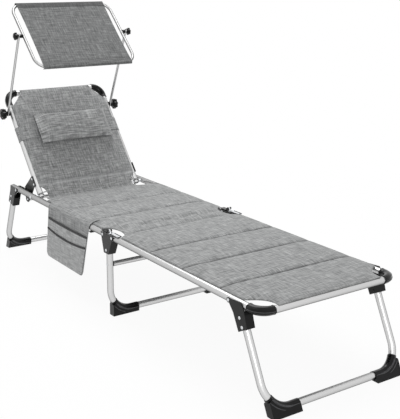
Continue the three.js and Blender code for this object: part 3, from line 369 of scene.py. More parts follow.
def bent(corners, radius, steps=10):
    """Stations (point, direction) along straight runs, each corner rounded to the bend radius."""
    corners = [Vector(c) for c in corners]
    runs = [(b - a).normalized() for a, b in zip(corners, corners[1:])]
    stations = [(corners[0], runs[0])]
    for corner, before, after in zip(corners[1:], runs, runs[1:]):
        turn = before.angle(after)
        side = (after - before * cos(turn)).normalized()
        start = corner - before * radius * tan(turn / 2)
        for k in range(steps + 1):
            angle = turn * k / steps
            ahead, aside = sin(angle), 1 - cos(angle)
            point = start + before * radius * ahead + side * radius * aside
            stations.append((point, before * cos(angle) + side * sin(angle)))
    stations.append((corners[-1], runs[-1]))
    return stations


def trail(line):
    """Stations along a line of points, each looking from the point before it to the one after."""
    last = len(line) - 1
    return [(point, (line[min(i + 1, last)] - line[max(i - 1, 0)]).normalized())
            for i, point in enumerate(line)]


def frames(stations):
    """A turning frame at each station, carried along without twist."""
    direction = stations[0][1]
    across = direction.orthogonal().normalized()
    if abs(direction.x) < 0.9:
        across = Vector((1, 0, 0))
        across = (across - direction * across.dot(direction)).normalized()
    made, before = [], direction
    for point, along in stations:
        turn = before.rotation_difference(along)
        across = (turn @ across).normalized()
        made.append((point, across, along.cross(across).normalized()))
        before = along
    return made


def wall_faces(rows, n, cap=True):
    """Faces round rows of n points each, with the first and the last row closed."""
    faces = []
    for a in range(0, (rows - 1) * n, n):
        faces += [[a + k, a + (k + 1) % n, a + n + (k + 1) % n, a + n + k] for k in range(n)]
    if cap:
        faces += [list(range(n))[::-1], [(rows - 1) * n + k for k in range(n)]]
    return faces


def double_wall_faces(rows, n):
    """Faces round rows of n outer points and the same rows of inner ones, with both mouths."""
    outer, inner, last = wall_faces(rows, n, False), rows * n, (rows - 1) * n
    faces = outer + [[i + inner for i in face][::-1] for face in outer]
    for k in range(n):
        j = (k + 1) % n
        faces.append([j, k, k + inner, j + inner])
        faces.append([last + k, last + j, last + j + inner, last + k + inner])
    return faces


def slab_faces(rows, n, turned_over=False):
    """Faces of a closed sheet: rows of n points for its face, then the same for its back."""
    faces, back = [], rows * n
    for a in range(0, (rows - 1) * n, n):
        b = a + n
        for c in range(n - 1):
            faces.append([a + c, a + c + 1, b + c + 1, b + c])
            faces.append([back + a + c, back + b + c, back + b + c + 1, back + a + c + 1])
        faces.append([a, b, back + b, back + a])
        a, b = a + n - 1, b + n - 1
        faces.append([a, back + a, back + b, b])
    for c in range(n - 1):
        a = (rows - 1) * n + c
        faces.append([c, back + c, back + c + 1, c + 1])
        faces.append([a, a + 1, back + a + 1, back + a])
    return [[face[0], *face[:0:-1]] for face in faces] if turned_over else faces


def slab(rows, columns, at, turned_over=False):
    """A closed sheet: at(side, row, share) gives a point of its face (side 1) or its back (side
    0) and where that lies in the cut."""
    grid = [at(side, r, c / columns)
            for side in (1, 0) for r in range(rows) for c in range(columns + 1)]
    points, cut = ([pair[i] for pair in grid] for i in (0, 1))
    return points, slab_faces(rows, columns + 1, turned_over), cut


def lengths_along(line):
    made = [0.0]
    for a, b in zip(line, line[1:]):
        made.append(made[-1] + hypot(b[0] - a[0], b[1] - a[1]))
    return made


def swept(stations, rings, cap=True):
    """A surface through one ring of (a, b) offsets at each station; rings is one or one each."""
    placed = frames(stations)
    each = rings if isinstance(rings[0], list) else [rings] * len(placed)
    points, cut, length = [], [], 0.0
    for i, ((point, across, up), ring) in enumerate(zip(placed, each)):
        length += (point - placed[i - 1][0]).length if i else 0
        for (a, b), walked in zip(ring, lengths_along(ring)):
            points.append(tuple(point + across * a + up * b))
            cut.append((walked / 1000, length / 1000))
    return points, wall_faces(len(placed), len(each[0]), cap), cut


def circle(radius, sides=28):
    angles = [2 * pi * k / sides for k in range(sides)]
    return [(radius * cos(angle), radius * sin(angle)) for angle in angles]


def hollow(stations, rings, inner_ring):
    """A tube or sleeve through its outer rings, with its bore and the rings that close its wall."""
    outer, inner = swept(stations, rings, False), swept(stations, inner_ring, False)
    faces = double_wall_faces(len(stations), len(inner_ring))
    return outer[0] + inner[0], faces, outer[2] + inner[2]


def frame_tube(stations):
    return [hollow(stations, circle(TUBE), circle(TUBE - WALL))]


def turned(profile, centre, along_y=False, sides=24):
    """A piece turned round X or Y, from (along, radius) pairs; a radius of zero closes it."""
    points, faces, cut, rings = [], [], [], []
    for along, radius in profile:
        count = sides if radius > 0 else 1
        rings.append(range(len(points), len(points) + count))
        for angle in (2 * pi * k / sides for k in range(count)):
            a, b = radius * cos(angle), radius * sin(angle)
            offset = (b, along, a) if along_y else (along, a, b)
            points.append(tuple(Vector(centre) + Vector(offset)))
            cut.append((radius * angle / 1000, along / 1000))
    for low, high in zip(rings, rings[1:]):
        for k in range(sides):
            around = ((low, k), (low, k + 1), (high, k + 1), (high, k))
            corners = [ring[i % len(ring)] for ring, i in around]
            faces.append(list(dict.fromkeys(corners)))  # a triangle where a ring is one point
    return points, faces, cut


def dome(x, y, z, radius, height, outward=1):
    """A rivet's domed head on a face that looks along X, or against it where outward is -1."""
    steps = 5
    profile = [(-0.4, 0), (-0.4, radius), (0.2, radius)]
    for k in range(1, steps):
        angle = pi / 2 * k / steps
        profile.append((0.2 + (height - 0.2) * sin(angle), radius * cos(angle)))
    profile = [(outward * along, reach) for along, reach in [*profile, (height, 0)]]
    points, faces, cut = turned(profile, (x, y, z), sides=20)
    return points, faces if outward > 0 else [face[::-1] for face in faces], cut


def rivet(low, high, y, z, shank, head, height):
    """A rivet or bolt along X with a domed head at both ends."""
    rise = [(sin(radians(d)), cos(radians(d))) for d in (0, 18, 36, 54, 72)]
    heads = [(height * up, head * (0.35 + 0.65 * out) if up else head) for up, out in rise]
    profile = [(low - height, 0), *[(low - up, radius) for up, radius in heads[::-1]]]
    profile += [(low, shank), (high, shank), *[(high + up, radius) for up, radius in heads]]
    return turned([*profile, (high + height, 0)], (0, y, z))


def remodel(node, material, body, soften, slot=None):
    """A copy of a CAD node with its edges rounded, which stands for the node."""
    work = bmesh.new()
    work.from_mesh(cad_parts[node].data)
    bmesh.ops.remove_doubles(work, verts=work.verts, dist=2e-6)
    flat = radians(1.5)
    bmesh.ops.dissolve_limit(work, angle_limit=flat, verts=work.verts, edges=work.edges)
    sharp = [edge for edge in work.edges
             if len(edge.link_faces) == 2 and edge.calc_face_angle(0) > radians(38)]
    bmesh.ops.bevel(work, geom=sharp, offset=soften / 1000, segments=2, profile=0.6,
                    affect="EDGES", clamp_overlap=True)
    bmesh.ops.recalc_face_normals(work, faces=work.faces)
    mesh = bpy.data.meshes.new(f"{node}_trim")
    work.to_mesh(mesh)
    work.free()
    mesh.materials.clear()
    for layer in list(mesh.uv_layers):
        mesh.uv_layers.remove(layer)
    layer = mesh.uv_layers.new(name="cut")
    for loop in mesh.loops:
        x, y, z = mesh.vertices[loop.vertex_index].co
        layer.data[loop.index].uv = (x + z, y)
    piece = dress(f"{node}_trim", mesh, material, body, (node,), slot, 45)
    piece.modifiers.new("flat_faces_stay_flat", "WEIGHTED_NORMAL").keep_sharp = True


# ---------------- tubes
def u_tube(name, body, place, node, x, free, crossbar, bend, steps=10):
    """A U of frame tube, from (y, z) of its free ends to (y, z) of its crossbar."""
    corners = [(-x, *free), (-x, *crossbar), (x, *crossbar), (x, *free)]
    build(name, frame_tube(bent(corners, bend, steps)), ALUMINIUM, body, place, (node,))


def oval(width, thick, inset):
    """The ring of a flat oval tube, or of its bore at an inset."""
    flat, radius = (width - thick) / 2, thick / 2 - inset
    ring = []
    for start, side in ((-90, 1), (90, -1)):
        for k in range(8):
            angle = radians(start + 180 * k / 7)
            ring.append((radius * sin(angle), -side * flat - radius * cos(angle)))
    return ring


def tube_pieces():
    rail = [(RAIL_X, FOLD_Y + GAP, RAIL_Z), (RAIL_X, RAIL_END, RAIL_Z)]
    both_sides("seat_rail", frame_tube(bent(rail, 0)), ALUMINIUM, "seat_section")
    u_tube("foot_frame_tube", "foot_section", ROW, "foot_frame", RAIL_X,
           (FOLD_Y - GAP, RAIL_Z), (0, RAIL_Z), FOOT_BEND)
    for name, top in (("foot", -22.0), ("middle", -43.0), ("rear", -22.0)):
        place, length = LEGS[name]
        u_tube(f"{name}_leg_tube", f"{name}_legs", place, f"{name}_leg", RAIL_X,
               (0, top), (0, -length), LEG_BEND, 14)
    u_tube("backrest_tube", "backrest", BACK, "backrest_frame", BACK_X,
           (-9, 0), (BACK_LENGTH, 0), BACK_BEND)
    s, h = CANOPY_SIDE, CANOPY_HALF
    corners = [(GAP, h, 0), (s, h, 0), (s, -h, 0), (-s, -h, 0), (-s, h, 0), (-GAP, h, 0)]
    loop = hollow(bent(corners, CANOPY_BEND, 12), circle(CANOPY_TUBE, 20),
                  circle(CANOPY_TUBE - 1, 20))
    build("canopy_loop", [loop], THIN_ALUMINIUM, "canopy", CANOPY, ("canopy_frame",))
    hubs = []
    for x in (-1, 1):
        low, high = sorted((x * (s + 3), x * (ARM_X - ARM_SIDE)))
        hubs.append(turned([(low, 0), (low, 8.2), (high, 8.2), (high, 0)], (0, 0, 0)))
    build("canopy_hubs", hubs, PLASTIC, "canopy", CANOPY)
    # Flat oval tube, 14 by 7.5 mm with a 1.2 mm wall, and its open ends
    arm = bent([(ARM_X, -9, 0), (ARM_X, ARM_LENGTH + 9, 0)], 0)
    flat_tube = hollow(arm, oval(14, 7.5, 0), oval(14, 7.5, 1.2))
    both_sides("canopy_arm", [flat_tube], ALUMINIUM, "canopy_arms", ARMS)


tube_pieces()


# ---------------- plastic and fasteners
def ribbed_ring(radius, rib_height, rib_angles):
    """A circle that rises to a rib at each of the angles."""
    ring = []
    for angle in (2 * pi * k / RIBBED_SIDES for k in range(RIBBED_SIDES)):
        away = [(angle - at + pi) % (2 * pi) - pi for at in rib_angles]
        reach = radius + rib_height * sum(exp(-((a / 0.13) ** 2)) for a in away)
        ring.append((reach * cos(angle), reach * sin(angle)))
    return ring


def sleeve(corner, first, first_length, second, second_length, bend, fill):
    """An elbow sleeve with a low collar at each mouth and two moulded ribs round its outer side.

    It swells by fill towards the inside of its bend."""
    corner, first, second = Vector(corner), Vector(first), Vector(second)
    path = bent([corner + first * first_length, corner, corner + second * second_length], bend, 12)
    start, end, count = path[0], path[-1], len(path) - 2
    swells = [fill * sin(pi * (i + 0.5) / count) ** 2 for i in range(count)]
    inward = (first + second).normalized()
    middle = [(point + inward * swell, along) for (point, along), swell in zip(path[1:-1], swells)]
    collar = SLEEVE + 0.6
    lead = [(start[0] + start[1] * d, start[1]) for d in (0.9, 3.4, 4.4)]
    tail = [(end[0] - end[1] * d, end[1]) for d in (4.4, 3.4, 0.9)]
    mouth = [SLEEVE, collar, collar, SLEEVE]
    radii = [*mouth, *[SLEEVE + swell for swell in swells], *mouth]
    rings = [ribbed_ring(r, 0.0 if r == collar else 1.2, (-0.3, 0.55)) for r in radii]
    return [hollow([start, *lead, *middle, *tail, end], rings, circle(TUBE + 0.1, RIBBED_SIDES))]


def star_knob(radius, lobes, depth, hub, hub_length, grip, stud_radius, stud_end):
    """A moulded star knob on a stud: rounded lobes, a dished face and a hub."""
    start = ARM_X + ARM_SIDE
    sides = lobes * 14
    face = start + hub_length
    out = face + grip
    # Along X, radius, and the share of the lobes' depth
    profile = [
        (start, hub, 0), (face - 1, hub * 1.15, 0), (face, radius - 4, 0.8),
        (face + 1.6, radius - 0.8, 1), (face + 3.4, radius, 1), (out - 4.5, radius, 1),
        (out - 1.8, radius - 1, 1), (out - 0.3, radius - 3.2, 0.8), (out, radius - 5.5, 0.5),
        (out - 1.6, hub * 1.25, 0), (out + 1.8, hub * 1.05, 0), (out + 3, hub * 0.8, 0),
        (out + 3, 0.4, 0),
    ]
    points, cut = [], []
    for x, r, wave in profile:
        for k in range(sides):
            angle = 2 * pi * k / sides
            lobe = r - wave * depth * (1 - cos(lobes * angle)) ** 0.8
            points.append((x, lobe * cos(angle), lobe * sin(angle)))
            cut.append((angle * r / 1000, x / 1000))
    stud = [(stud_end, 0), (stud_end, stud_radius - 0.6), (stud_end + 0.8, stud_radius),
            (start, stud_radius), (start, 0)]
    return (points, wall_faces(len(profile), sides), cut), turned(stud, (0, 0, 0))


def elbows():
    corner, up = Vector((RAIL_X, 0, RAIL_Z)), Vector((0, 0, 1))
    elbow = sleeve(corner, (0, 1, 0), 54, (-1, 0, 0), 50, FOOT_BEND, 0.8)
    both_sides("foot_elbow", elbow, PLASTIC, "foot_section")
    elbow = sleeve((BACK_X, BACK_LENGTH, 0), (0, -1, 0), 63, (-1, 0, 0), 48, BACK_BEND, 1.0)
    both_sides("back_elbow", elbow, PLASTIC, "backrest", BACK)
    path = bent([corner + Vector((0, 48, 0)), corner, corner - Vector((45, 0, 0))], FOOT_BEND, 12)
    line = [(at + up.cross(along) * (SLEEVE + 0.1), along) for at, along in path]
    # The elbow's top rib is in the lighter plastic: a painted highlight line
    both_sides("foot_elbow_rib", [swept(line, circle(1.3, 10))], RIB_HIGHLIGHT_PLASTIC, "foot_section",
               extra=True)


def hard_pieces():
    for name, place, sizes in (
        ("lower_knob", ARMS, (25, 7, 2.7, 11, 10, 20, 4, BACK_X - TUBE)),
        ("upper_knob", CANOPY, (17, 6, 2.1, 8, 5, 13, 3, CANOPY_SIDE - 4.5)),
    ):
        knob, stud = star_knob(*sizes)
        both_sides(name, [knob], PLASTIC, name + "_{}", place)
        both_sides(f"{name}_stud", [stud], STEEL, name + "_{}", place, extra=True)
    cap = [(-6, 0), (-6, 10.6), (0, 10.6), (0, 12.4), (1.2, 12.4), (2, 11.4), (2.2, 0)]
    plug = turned([(RAIL_END + along, radius) for along, radius in cap], (RAIL_X, 0, RAIL_Z), True)
    both_sides("seat_rail_cap", [plug], PLASTIC, "seat_section")
    for node, body, soften in (
        ("seat_hinge_leaf", "seat_section", 0.5), ("middle_bracket", "seat_section", 0.9),
        ("recline_pawl", "recline_pawl_{}", 0.5), ("rear_bracket", "rear_legs", 0.9),
        ("foot_bracket", "foot_legs", 0.9), ("foot_boot", "foot_legs", 1.4),
        ("middle_boot", "middle_legs", 1.4), ("rear_boot", "rear_legs", 1.4),
        ("ratchet_plate", "backrest", 0.5), ("arm_spacer", "backrest", 0.5),
    ):
        for side in ("left", "right"):
            remodel(f"{node}_{side}", PLASTIC, body.format(side), soften)
    reach = TUBE + GAP + 3.3  # over a bracket's two walls
    for node, body, y in (("rear_leg_pivot", "seat_section", 1740),
                          ("foot_leg_pivot", "foot_section", 140)):
        pivot = rivet(RAIL_X - reach, RAIL_X + reach, y, RAIL_Z, 3, 5.4, 2.1)
        both_sides(node, [pivot], STEEL, body)
    low, high = BACK_X + TUBE + GAP, RAIL_X - TUBE - GAP
    bolt = rivet(BACK_X - TUBE - GAP, RAIL_X + TUBE + GAP, BACK_Y, RAIL_Z, 4, 7, 2.6)
    bush = turned([(low, 4), (low, 8), (high, 8), (high, 4)], (0, BACK_Y, RAIL_Z))
    both_sides("recline_bolt", [bolt, bush], STEEL, "seat_section")
    for side in ("left", "right"):
        remodel(f"foot_hinge_leaf_{side}", STEEL, "foot_section", 0.4, "aluminium_tube")
    top = PAD_Z + 2.4
    corners = [Vector((RAIL_X + x, y, top))
               for x, y in ((-9.4, 885), (-9.4, 834), (9.4, 834), (9.4, 885))]
    rim = swept(bent(corners, 3, 4), circle(1.5, 10))
    both_sides("foot_hinge_leaf_rim", [rim], PLASTIC, "foot_section", extra=True)
    remodel("middle_brace", ALUMINIUM, "middle_legs", 0.3)
    remodel("ratchet_tie_tube", ALUMINIUM, "backrest", 0.3)


def round_bend(length, reach, first, last=90, y=0):
    """Points round a leg's bend, at a distance from its centre, each with its angle."""
    steps = 14
    for angle in (radians(first + (last - first) * k / steps) for k in range(steps + 1)):
        yield Vector((RAIL_X - LEG_BEND + reach * cos(angle), y,
                      LEG_BEND - length - reach * sin(angle))), angle


def boot_ribs():
    """A boot's ribbed half over the tube's bend, and ribs on both its faces: a thick one along
    the tube and a thinner one outside it."""
    face = TUBE + GAP + 2.6
    rib_angles = [side * radians(d) for side in (-1, 1) for d in (98, 136)]
    for name, (place, length) in LEGS.items():
        ribs = []
        for y in (-face, face):
            for reach, radius, last in ((LEG_BEND + 1, 3.4, 90), (LEG_BEND + 13, 1.8, 72)):
                line = [at for at, _ in round_bend(length, reach, 36, last, y)]
                if last == 90:
                    line.append(Vector((BOOT_END + 3, y, LEG_BEND - length - reach)))
                end = len(line) - 1
                taper = [min(1.0, 0.35 + 0.65 * min(i, end - i) / 2) for i in range(end + 1)]
                ribs.append(swept(trail(line), [circle(radius * share, 12) for share in taper]))
        bend = [(at, Vector((-sin(a), 0, -cos(a)))) for at, a in round_bend(length, LEG_BEND, 31)]
        bend += [(Vector((x, 0, -length)), Vector((-1, 0, 0)))
                 for x in (RAIL_X - LEG_BEND - 15, BOOT_END)]
        rings = [ribbed_ring(14.4, 1.2, rib_angles)] * len(bend)
        over = hollow(bend, rings, circle(TUBE + 0.2, RIBBED_SIDES))
        both_sides(f"{name}_boot_sleeve", [over], PLASTIC, f"{name}_legs", place, extra=True)
        # The face ribs are in the lighter plastic: painted highlights
        both_sides(f"{name}_boot_ribs", ribs, RIB_HIGHLIGHT_PLASTIC, f"{name}_legs", place, extra=True)


def rivet_heads():
    """Domed steel heads over the brackets' rivets; the middle bracket's show inside it too."""
    outer, inner = RAIL_X + TUBE + GAP + 3.0, RAIL_X - TUBE - GAP - 3.0
    spots = [(FOLD_Y + 28, RAIL_Z + 3), (910, 269), (FOLD_Y - 41, RAIL_Z + 3)]
    for name, place, body in (("foot", LEGS["foot"][0], "foot_legs"),
                              ("rear", LEGS["rear"][0], "rear_legs")):
        heads = [dome(outer, 0, z, *RIVET_HEAD) for z in (-44, -74)]
        both_sides(f"{name}_rivet_heads", heads, STEEL, body, place, extra=True)
    heads = []
    for y, z in spots:
        heads.append(dome(outer, y, z, *RIVET_HEAD))
        if y > FOLD_Y:
            heads.append(dome(inner, y, z, *RIVET_HEAD, -1))
    both_sides("middle_rivet_heads", heads, STEEL, "seat_section", extra=True)
    heads = [dome(RAIL_X + TUBE + GAP, 910, 210, *RIVET_HEAD)]
    both_sides("brace_rivet_heads", heads, STEEL, "middle_legs", extra=True)
    plate = BACK_X + 16
    tie = radians(-19.3 - BACK_TILT)
    heads = [dome(plate, 115 * cos(tie), 115 * sin(tie), 5.6, 2.5),
             dome(plate, 84, 0, 5.6, 2.1), dome(plate, 57, 0, 5.6, 2.1)]
    both_sides("ratchet_rivet_heads", heads, STEEL, "backrest", BACK, extra=True)


elbows()
hard_pieces()
boot_ribs()
rivet_heads()


# ---------------- quilted fabric
def smooth(value):
    value = max(0.0, min(1.0, value))
    return value * value * (3 - 2 * value)


def grain(x, y, seed=0.0):
    return noise.noise(Vector((x, y, seed)))


# Where a quilt's columns lie from edge to edge, closer at its rounded edges
ACROSS = [sin(pi / 2 * (k / 36 - 1)) * 0.35 + (k / 36 - 1) * 0.65 for k in range(73)]
ACROSS = sorted(ACROSS + [side * share for side in (-1, 1) for share in (0.997, 0.992)])
EDGE_ROUNDING = 4.5


def quilt(rows, half_width, loft, painted_seam_shading):
    """Closed quilt from rows (s, y, z, normal y, normal z); the underside is flat on its frame."""
    points, cut, seam = [], [], []
    for upper in (1, 0):
        for s, y, z, ny, nz in rows:
            width = half_width(s)
            walked, before = -1.06 * width, None
            for share in ACROSS:
                x = share * width
                inset = min((width - abs(x)) / EDGE_ROUNDING, 1.0)
                rounding = 0.2 + 0.8 * sqrt(1 - (1 - inset) ** 2)
                lift = (CLOTH + loft(x, s, width)) * rounding if upper else 0.0
                if before:
                    walked += hypot(x - before[0], lift - before[1])
                before = (x, lift)
                points.append((x, y + ny * lift, z + nz * lift))
                cut.append((walked / 1000, s / 1000))
                # Painted seam shading, on the upper face only
                seam.append(painted_seam_shading(x, s) if upper else 0.0)
    return (points, slab_faces(len(rows), len(ACROSS)), cut), seam


def panel_loft(s, seams, full):
    """Puffed height between two seams, with a narrow sewn channel at each."""
    for start, end in zip(seams, seams[1:]):
        if start <= s <= end:
            share = (s - start) / (end - start)
            near = min(s - start, end - s)
            roll = 1 - (1 - min(near / 34, 1)) ** 3
            return full * (0.02 + 0.78 * roll + 0.2 * sin(pi * share)), near
    return full * 0.1, 0.0


def lying_loft(x, s, width):
    height, near = panel_loft(s, SEAMS, 11.5)
    border = smooth((width - abs(x) - 3) / 52)
    pucker = exp(-near / 16) * 1.5 * grain(x / 15, s / 60, 3.1) * border
    long_folds = 0.8 * grain(x / 70, s / 28, 7.7) * border
    drift = 1.6 * grain(x / 120, s / 90, 1.3) * border
    puffed = height * (0.25 + 0.75 * border) + pucker + long_folds + drift
    at_fold = 0.12 + 0.88 * smooth(abs(s - FOLD_Y) / 26)
    pull = 0.0  # wrinkles that fan out from the foot corners
    if s < SEAMS[1] - 4:
        corner = hypot(abs(x) - 255, s - 30)
        pull = exp(-corner / 55) * sin(corner / 3.8 + 2 * grain(x / 30, s / 30))
    return max(0.0, puffed * at_fold + 0.72 * pull)


def lying_half_width(y):
    """Drawn in a little at each panel's middle, cut away at the foot corners and at the fold."""
    width = QUILT_HALF - 1.6 * (panel_loft(y, SEAMS, 1)[0] - 0.1)
    corner = (y - SEAMS[0]) / 88
    if corner < 1:
        width = min(width, QUILT_HALF - 64 * (1 - max(0.0, corner) ** 3))
    notch = (y - 897) / 68
    if abs(notch) < 1:
        width = min(width, QUILT_HALF - 41 * sqrt(1 - notch * notch))
    return width


def row_stations(seams, extra=()):
    """Where a quilt's rows lie: some 8 mm apart, and closer beside each seam."""
    made = set(extra)
    for start, end in zip(seams, seams[1:]):
        span = end - start
        near = [d for d in (0, 1.5, 3, 5, 8, 12, 17) if d < span / 2]
        made.update([start + d for d in near] + [end - d for d in near])
        count = max(2, round(span / 8))
        between = [span * k / count for k in range(count + 1)]
        made.update(start + d for d in between if 17 < d < span - 17)
    ordered = sorted(made)
    return [s for i, s in enumerate(ordered) if i == 0 or s - ordered[i - 1] > 0.6]


def lying_quilt():
    extra = [FOLD_Y + d for d in (-26, -18, -12, -6, 0, 6, 12, 18, 26)]
    rows = [(y, y, PAD_Z, 0.0, 1.0) for y in row_stations(SEAMS, extra)]

    # Painted shade: how much dark seam colour lies along each seam's crease, fainter at two seams
    def painted_seam_shading(x, s):
        near = min(abs(s - seam) for seam in SEAMS[1:-1])
        faint = 0.25 if min(abs(s - SEAMS[4]), abs(s - SEAMS[6])) < 20 else 1.0
        depth = 0.8 + 0.5 * grain(x / 12, s / 40, 6.6)
        return faint * 0.9 * exp(-((near / 4.5) ** 2)) * depth

    part, seam = quilt(rows, lying_half_width, lying_loft, painted_seam_shading)
    piece = build("lying_quilt", [part], SEAT_WEAVE, None, ROW, ("foot_quilt",), seam=seam)
    low, high = (metres(ROW, (0, FOLD_Y + d, 345)) for d in (-30, 30))
    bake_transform(piece)
    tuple(low)
    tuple(high)


# Up the backrest, from the recline axis
BACK_SEAM = 45
BACK_TOP = 531


def back_path():
    """The underside of the fabric from the ridge down to the valley and up the backrest.

    Its rows, and how far along them the recline axis lies."""
    sine, cosine = sin(radians(BACK_TILT)), cos(radians(BACK_TILT))

    def on_back(t, n=TUBE + GAP):
        return Vector((BACK_Y + t * cosine - n * sine, RAIL_Z + t * sine + n * cosine))

    valley = [(SEAMS[-1], 335.8), (1458, 335.0), (1474, 331.6), (1500, 325.4), (1528, 318.4),
              (1546, 314.2), (1556, 312.8), (1563, 313.6), (1568, 317.2)]
    start = 12
    knots = [Vector(knot) for knot in valley] + [on_back(t) for t in (-8, 0, start)]
    points = []
    for i, (a, b) in enumerate(zip(knots, knots[1:])):
        before = knots[i - 1] if i else a - (b - a)
        after = knots[i + 2] if i + 2 < len(knots) else b + (b - a)
        steps = max(2, round((b - a).length / 4))
        for u in (k / steps for k in range(steps)):
            points.append(0.5 * (2 * a + (b - before) * u
                                 + (2 * before - 5 * a + 4 * b - after) * u * u
                                 + (3 * a - before - 3 * b + after) * u ** 3))
    ups = row_stations([start, BACK_SEAM, BACK_TOP], range(436, BACK_TOP, 6))
    points += [on_back(t) for t in ups]
    rows = []
    for s, (p, along) in zip(lengths_along(points), trail(points)):
        rows.append((s, p.x, p.y, -along.y, along.x))
    return rows, rows[-1][0] - BACK_TOP


def back_quilt():
    rows, axis = back_path()

    def half_width(s):
        t = s - axis
        if t < -20:
            return QUILT_HALF - 53 * smooth(s / max(axis - 20, 1) * 2.6)
        lower = 214 + 26 * min(1.0, (t + 20) / 58) ** 4
        top = 178 + 62 * max(0.0, min(1.0, (BACK_TOP - t) / 82)) ** 1.5
        return min(226 - 12 * smooth((t + 40) / 30) if t < 0 else lower, lower, top)

    def loft(x, s, width):
        t = s - axis
        border = smooth((width - abs(x) - 3) / 46)
        if t < BACK_SEAM:
            low = 1.4 + 1.2 * grain(x / 24, s / 70, 5.0)
            at_ridge = 1.6 * (1 - smooth(s / 30))
            return max(0.0, low * border * smooth(0.3 + (BACK_SEAM - t) / 8) + at_ridge)
        height, near = panel_loft(t, [BACK_SEAM, BACK_TOP], 10)
        gathered = exp(-min(near, BACK_TOP - t) / 18)
        pucker = gathered * 0.9 * grain(x / 18, t / 70, 2.2) * border
        drift = 1.8 * grain(x / 130, t / 120, 9.3) * border
        return max(0.0, height * (0.3 + 0.7 * border) + pucker + drift)

    # Painted highlight: the light seam colour along the seam across the backrest
    def painted_seam_shading(x, s):
        depth = 0.7 + 0.6 * grain(x / 14, s / 40, 3.6)
        return 0.8 * exp(-(((s - axis - BACK_SEAM) / 5) ** 2)) * depth

    part, seam = quilt(rows, half_width, loft, painted_seam_shading)
    piece = build("back_quilt_fabric", [part], BACK_WEAVE, None, ROW, ("back_quilt", "seat_quilt"),
                  seam=seam)
    low, high = metres(ROW, (0, 1520, 330)), metres(ROW, (0, 1600, 352))
    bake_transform(piece)
    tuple(low)
    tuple(high)


lying_quilt()
back_quilt()


# ---------------- pillow and band
def pillow():
    """A soft cushion whose pocket-side end is open: a near-black sheet a little inside it is
    painted shade in its mouth.
    """
    left, right, bottom, top = -169.0, 189.0, 232.0, 381.0
    middle = (bottom + top) / 2
    seam = TUBE + GAP + 3 + 11 + 1.2 + 0.9 + 16  # how far its seam lies from the backrest's plane
    columns, ring = 46, 56
    points, cut = [], []
    for u in (c / (columns - 1) for c in range(columns)):
        x = left + (right - left) * u
        end = smooth(min(u / 0.12, 1)) * smooth(min((1 - u) / 0.09, 1) * 0.92 + 0.08 * (u < 1))
        open_end = 2.8 * (1 - smooth(u / 0.1))
        reach = (top - bottom) / 2 - 5 * sin(pi * u) ** 0.5 + (4 if u < 0.02 else 0)
        for k in range(ring):
            angle = 2 * pi * k / ring
            a, b = cos(angle), sin(angle)
            t = middle + reach * copysign(abs(a) ** 0.72, a)
            thick = (30 if b > 0 else 15) * end + open_end
            folds = 1.5 * grain(x / 85, t / 13, 4.4) + 1.0 * grain(x / 22, t / 30, 8.1)
            fold = folds * end * max(0.0, 1 - abs(a) ** 3.2) if b > 0 else 0.0
            points.append((x, t, seam + copysign(abs(b) ** 0.8, b) * thick + fold))
            cut.append((x / 1000, (t + (angle - pi) * 8) / 1000))
    faces = wall_faces(columns, ring, cap=False) + [[(columns - 1) * ring + k for k in range(ring)]]
    cover = build("pillow_cover", [(points, faces, cut)], PILLOW_WEAVE_PAINTED_LIGHT, "backrest", BACK,
                  ("pillow",), sharp=70)
    bpy.context.view_layer.update()
    inner, inner_cut = [], []
    for depth, narrow, flat in ((0.2, 0.97, 0.9), (12, 0.94, 0.86)):
        for x, t, n in points[:ring]:
            inner.append((x + depth, middle + (t - middle) * narrow, seam + (n - seam) * flat))
            inner_cut.append((depth / 1000, t / 1000))
    faces = wall_faces(2, ring, cap=False) + [list(range(ring, 2 * ring))]
    build("pillow_mouth_painted_shade", [(inner, faces, inner_cut)], MOUTH_PAINTED_SHADE, "backrest", BACK)


def band():
    """The elastic band, of the same fabric, drawn round the backrest and its quilt."""
    out = BACK_X + TUBE + 0.5
    front = [(x, 27.4 - 9.5 * smooth((abs(x) - 190) / 56)) for x in range(-236, 237, 8)]
    turn = [radians(d) for d in range(20, 171, 15)]
    right = [(out - 12 + 12.4 * sin(a), 13.4 * cos(a)) for a in turn]
    back = [(x, -13.6) for x in range(232, -233, -16)]
    ring = front + right + back + [(-x, n) for x, n in right[::-1]]
    lengths = lengths_along(ring)
    rows = [273, 275, 281, 290, 300, 308, 316, 326, 334, 340, 342]  # up the backrest
    points, cut = [], []
    for thick in (1.0, 0.0):
        for t in rows:
            for i, (x, h) in enumerate(ring):
                a, b = ring[i - 1], ring[(i + 1) % len(ring)]
                across = hypot(b[0] - a[0], b[1] - a[1])
                nx, nn = -(b[1] - a[1]) / across, (b[0] - a[0]) / across
                if i < len(front):
                    nx, nn = 0.0, 1.0
                wave = 0.5 * grain(x / 60, t / 40, 6.0) if thick else 0.0
                points.append((x + nx * thick, t, h + nn * (thick + wave)))
                cut.append((t / 1000, lengths[i] / 1000))
    part = points, double_wall_faces(len(rows), len(ring)), cut
    piece = build("pillow_band_strip", [part], BACK_WEAVE, "backrest", BACK, ("pillow_band",),
                  "band_webbing")


def corner_straps():
    """Short loops of the fabric that hold the backrest cover's lower corners to its tube."""
    line = [(-208, 16.4), (-214, 16.2), (-221, 15.4), (-228, 14.6), (-235, 13.9), (-242, 13.4),
            (-248, 12.0), (-252.6, 8.4), (-255, 3.0)]
    stations = [(Vector((p.x, 9 + (p.x + 208) * 0.06, p.z)), along)
                for p, along in trail([Vector((x, 0, n)) for x, n in line])]
    angles = [2 * pi * k / 20 for k in range(20)]
    flat = [(0.6 * cos(q), 6.0 * copysign(abs(sin(q)) ** 0.4, sin(q))) for q in angles]
    made = swept(stations, flat)
    for side, part in (("left", made), ("right", mirrored(made))):
        strap = build(f"corner_strap_{side}", [part], BACK_WEAVE, "backrest", BACK)


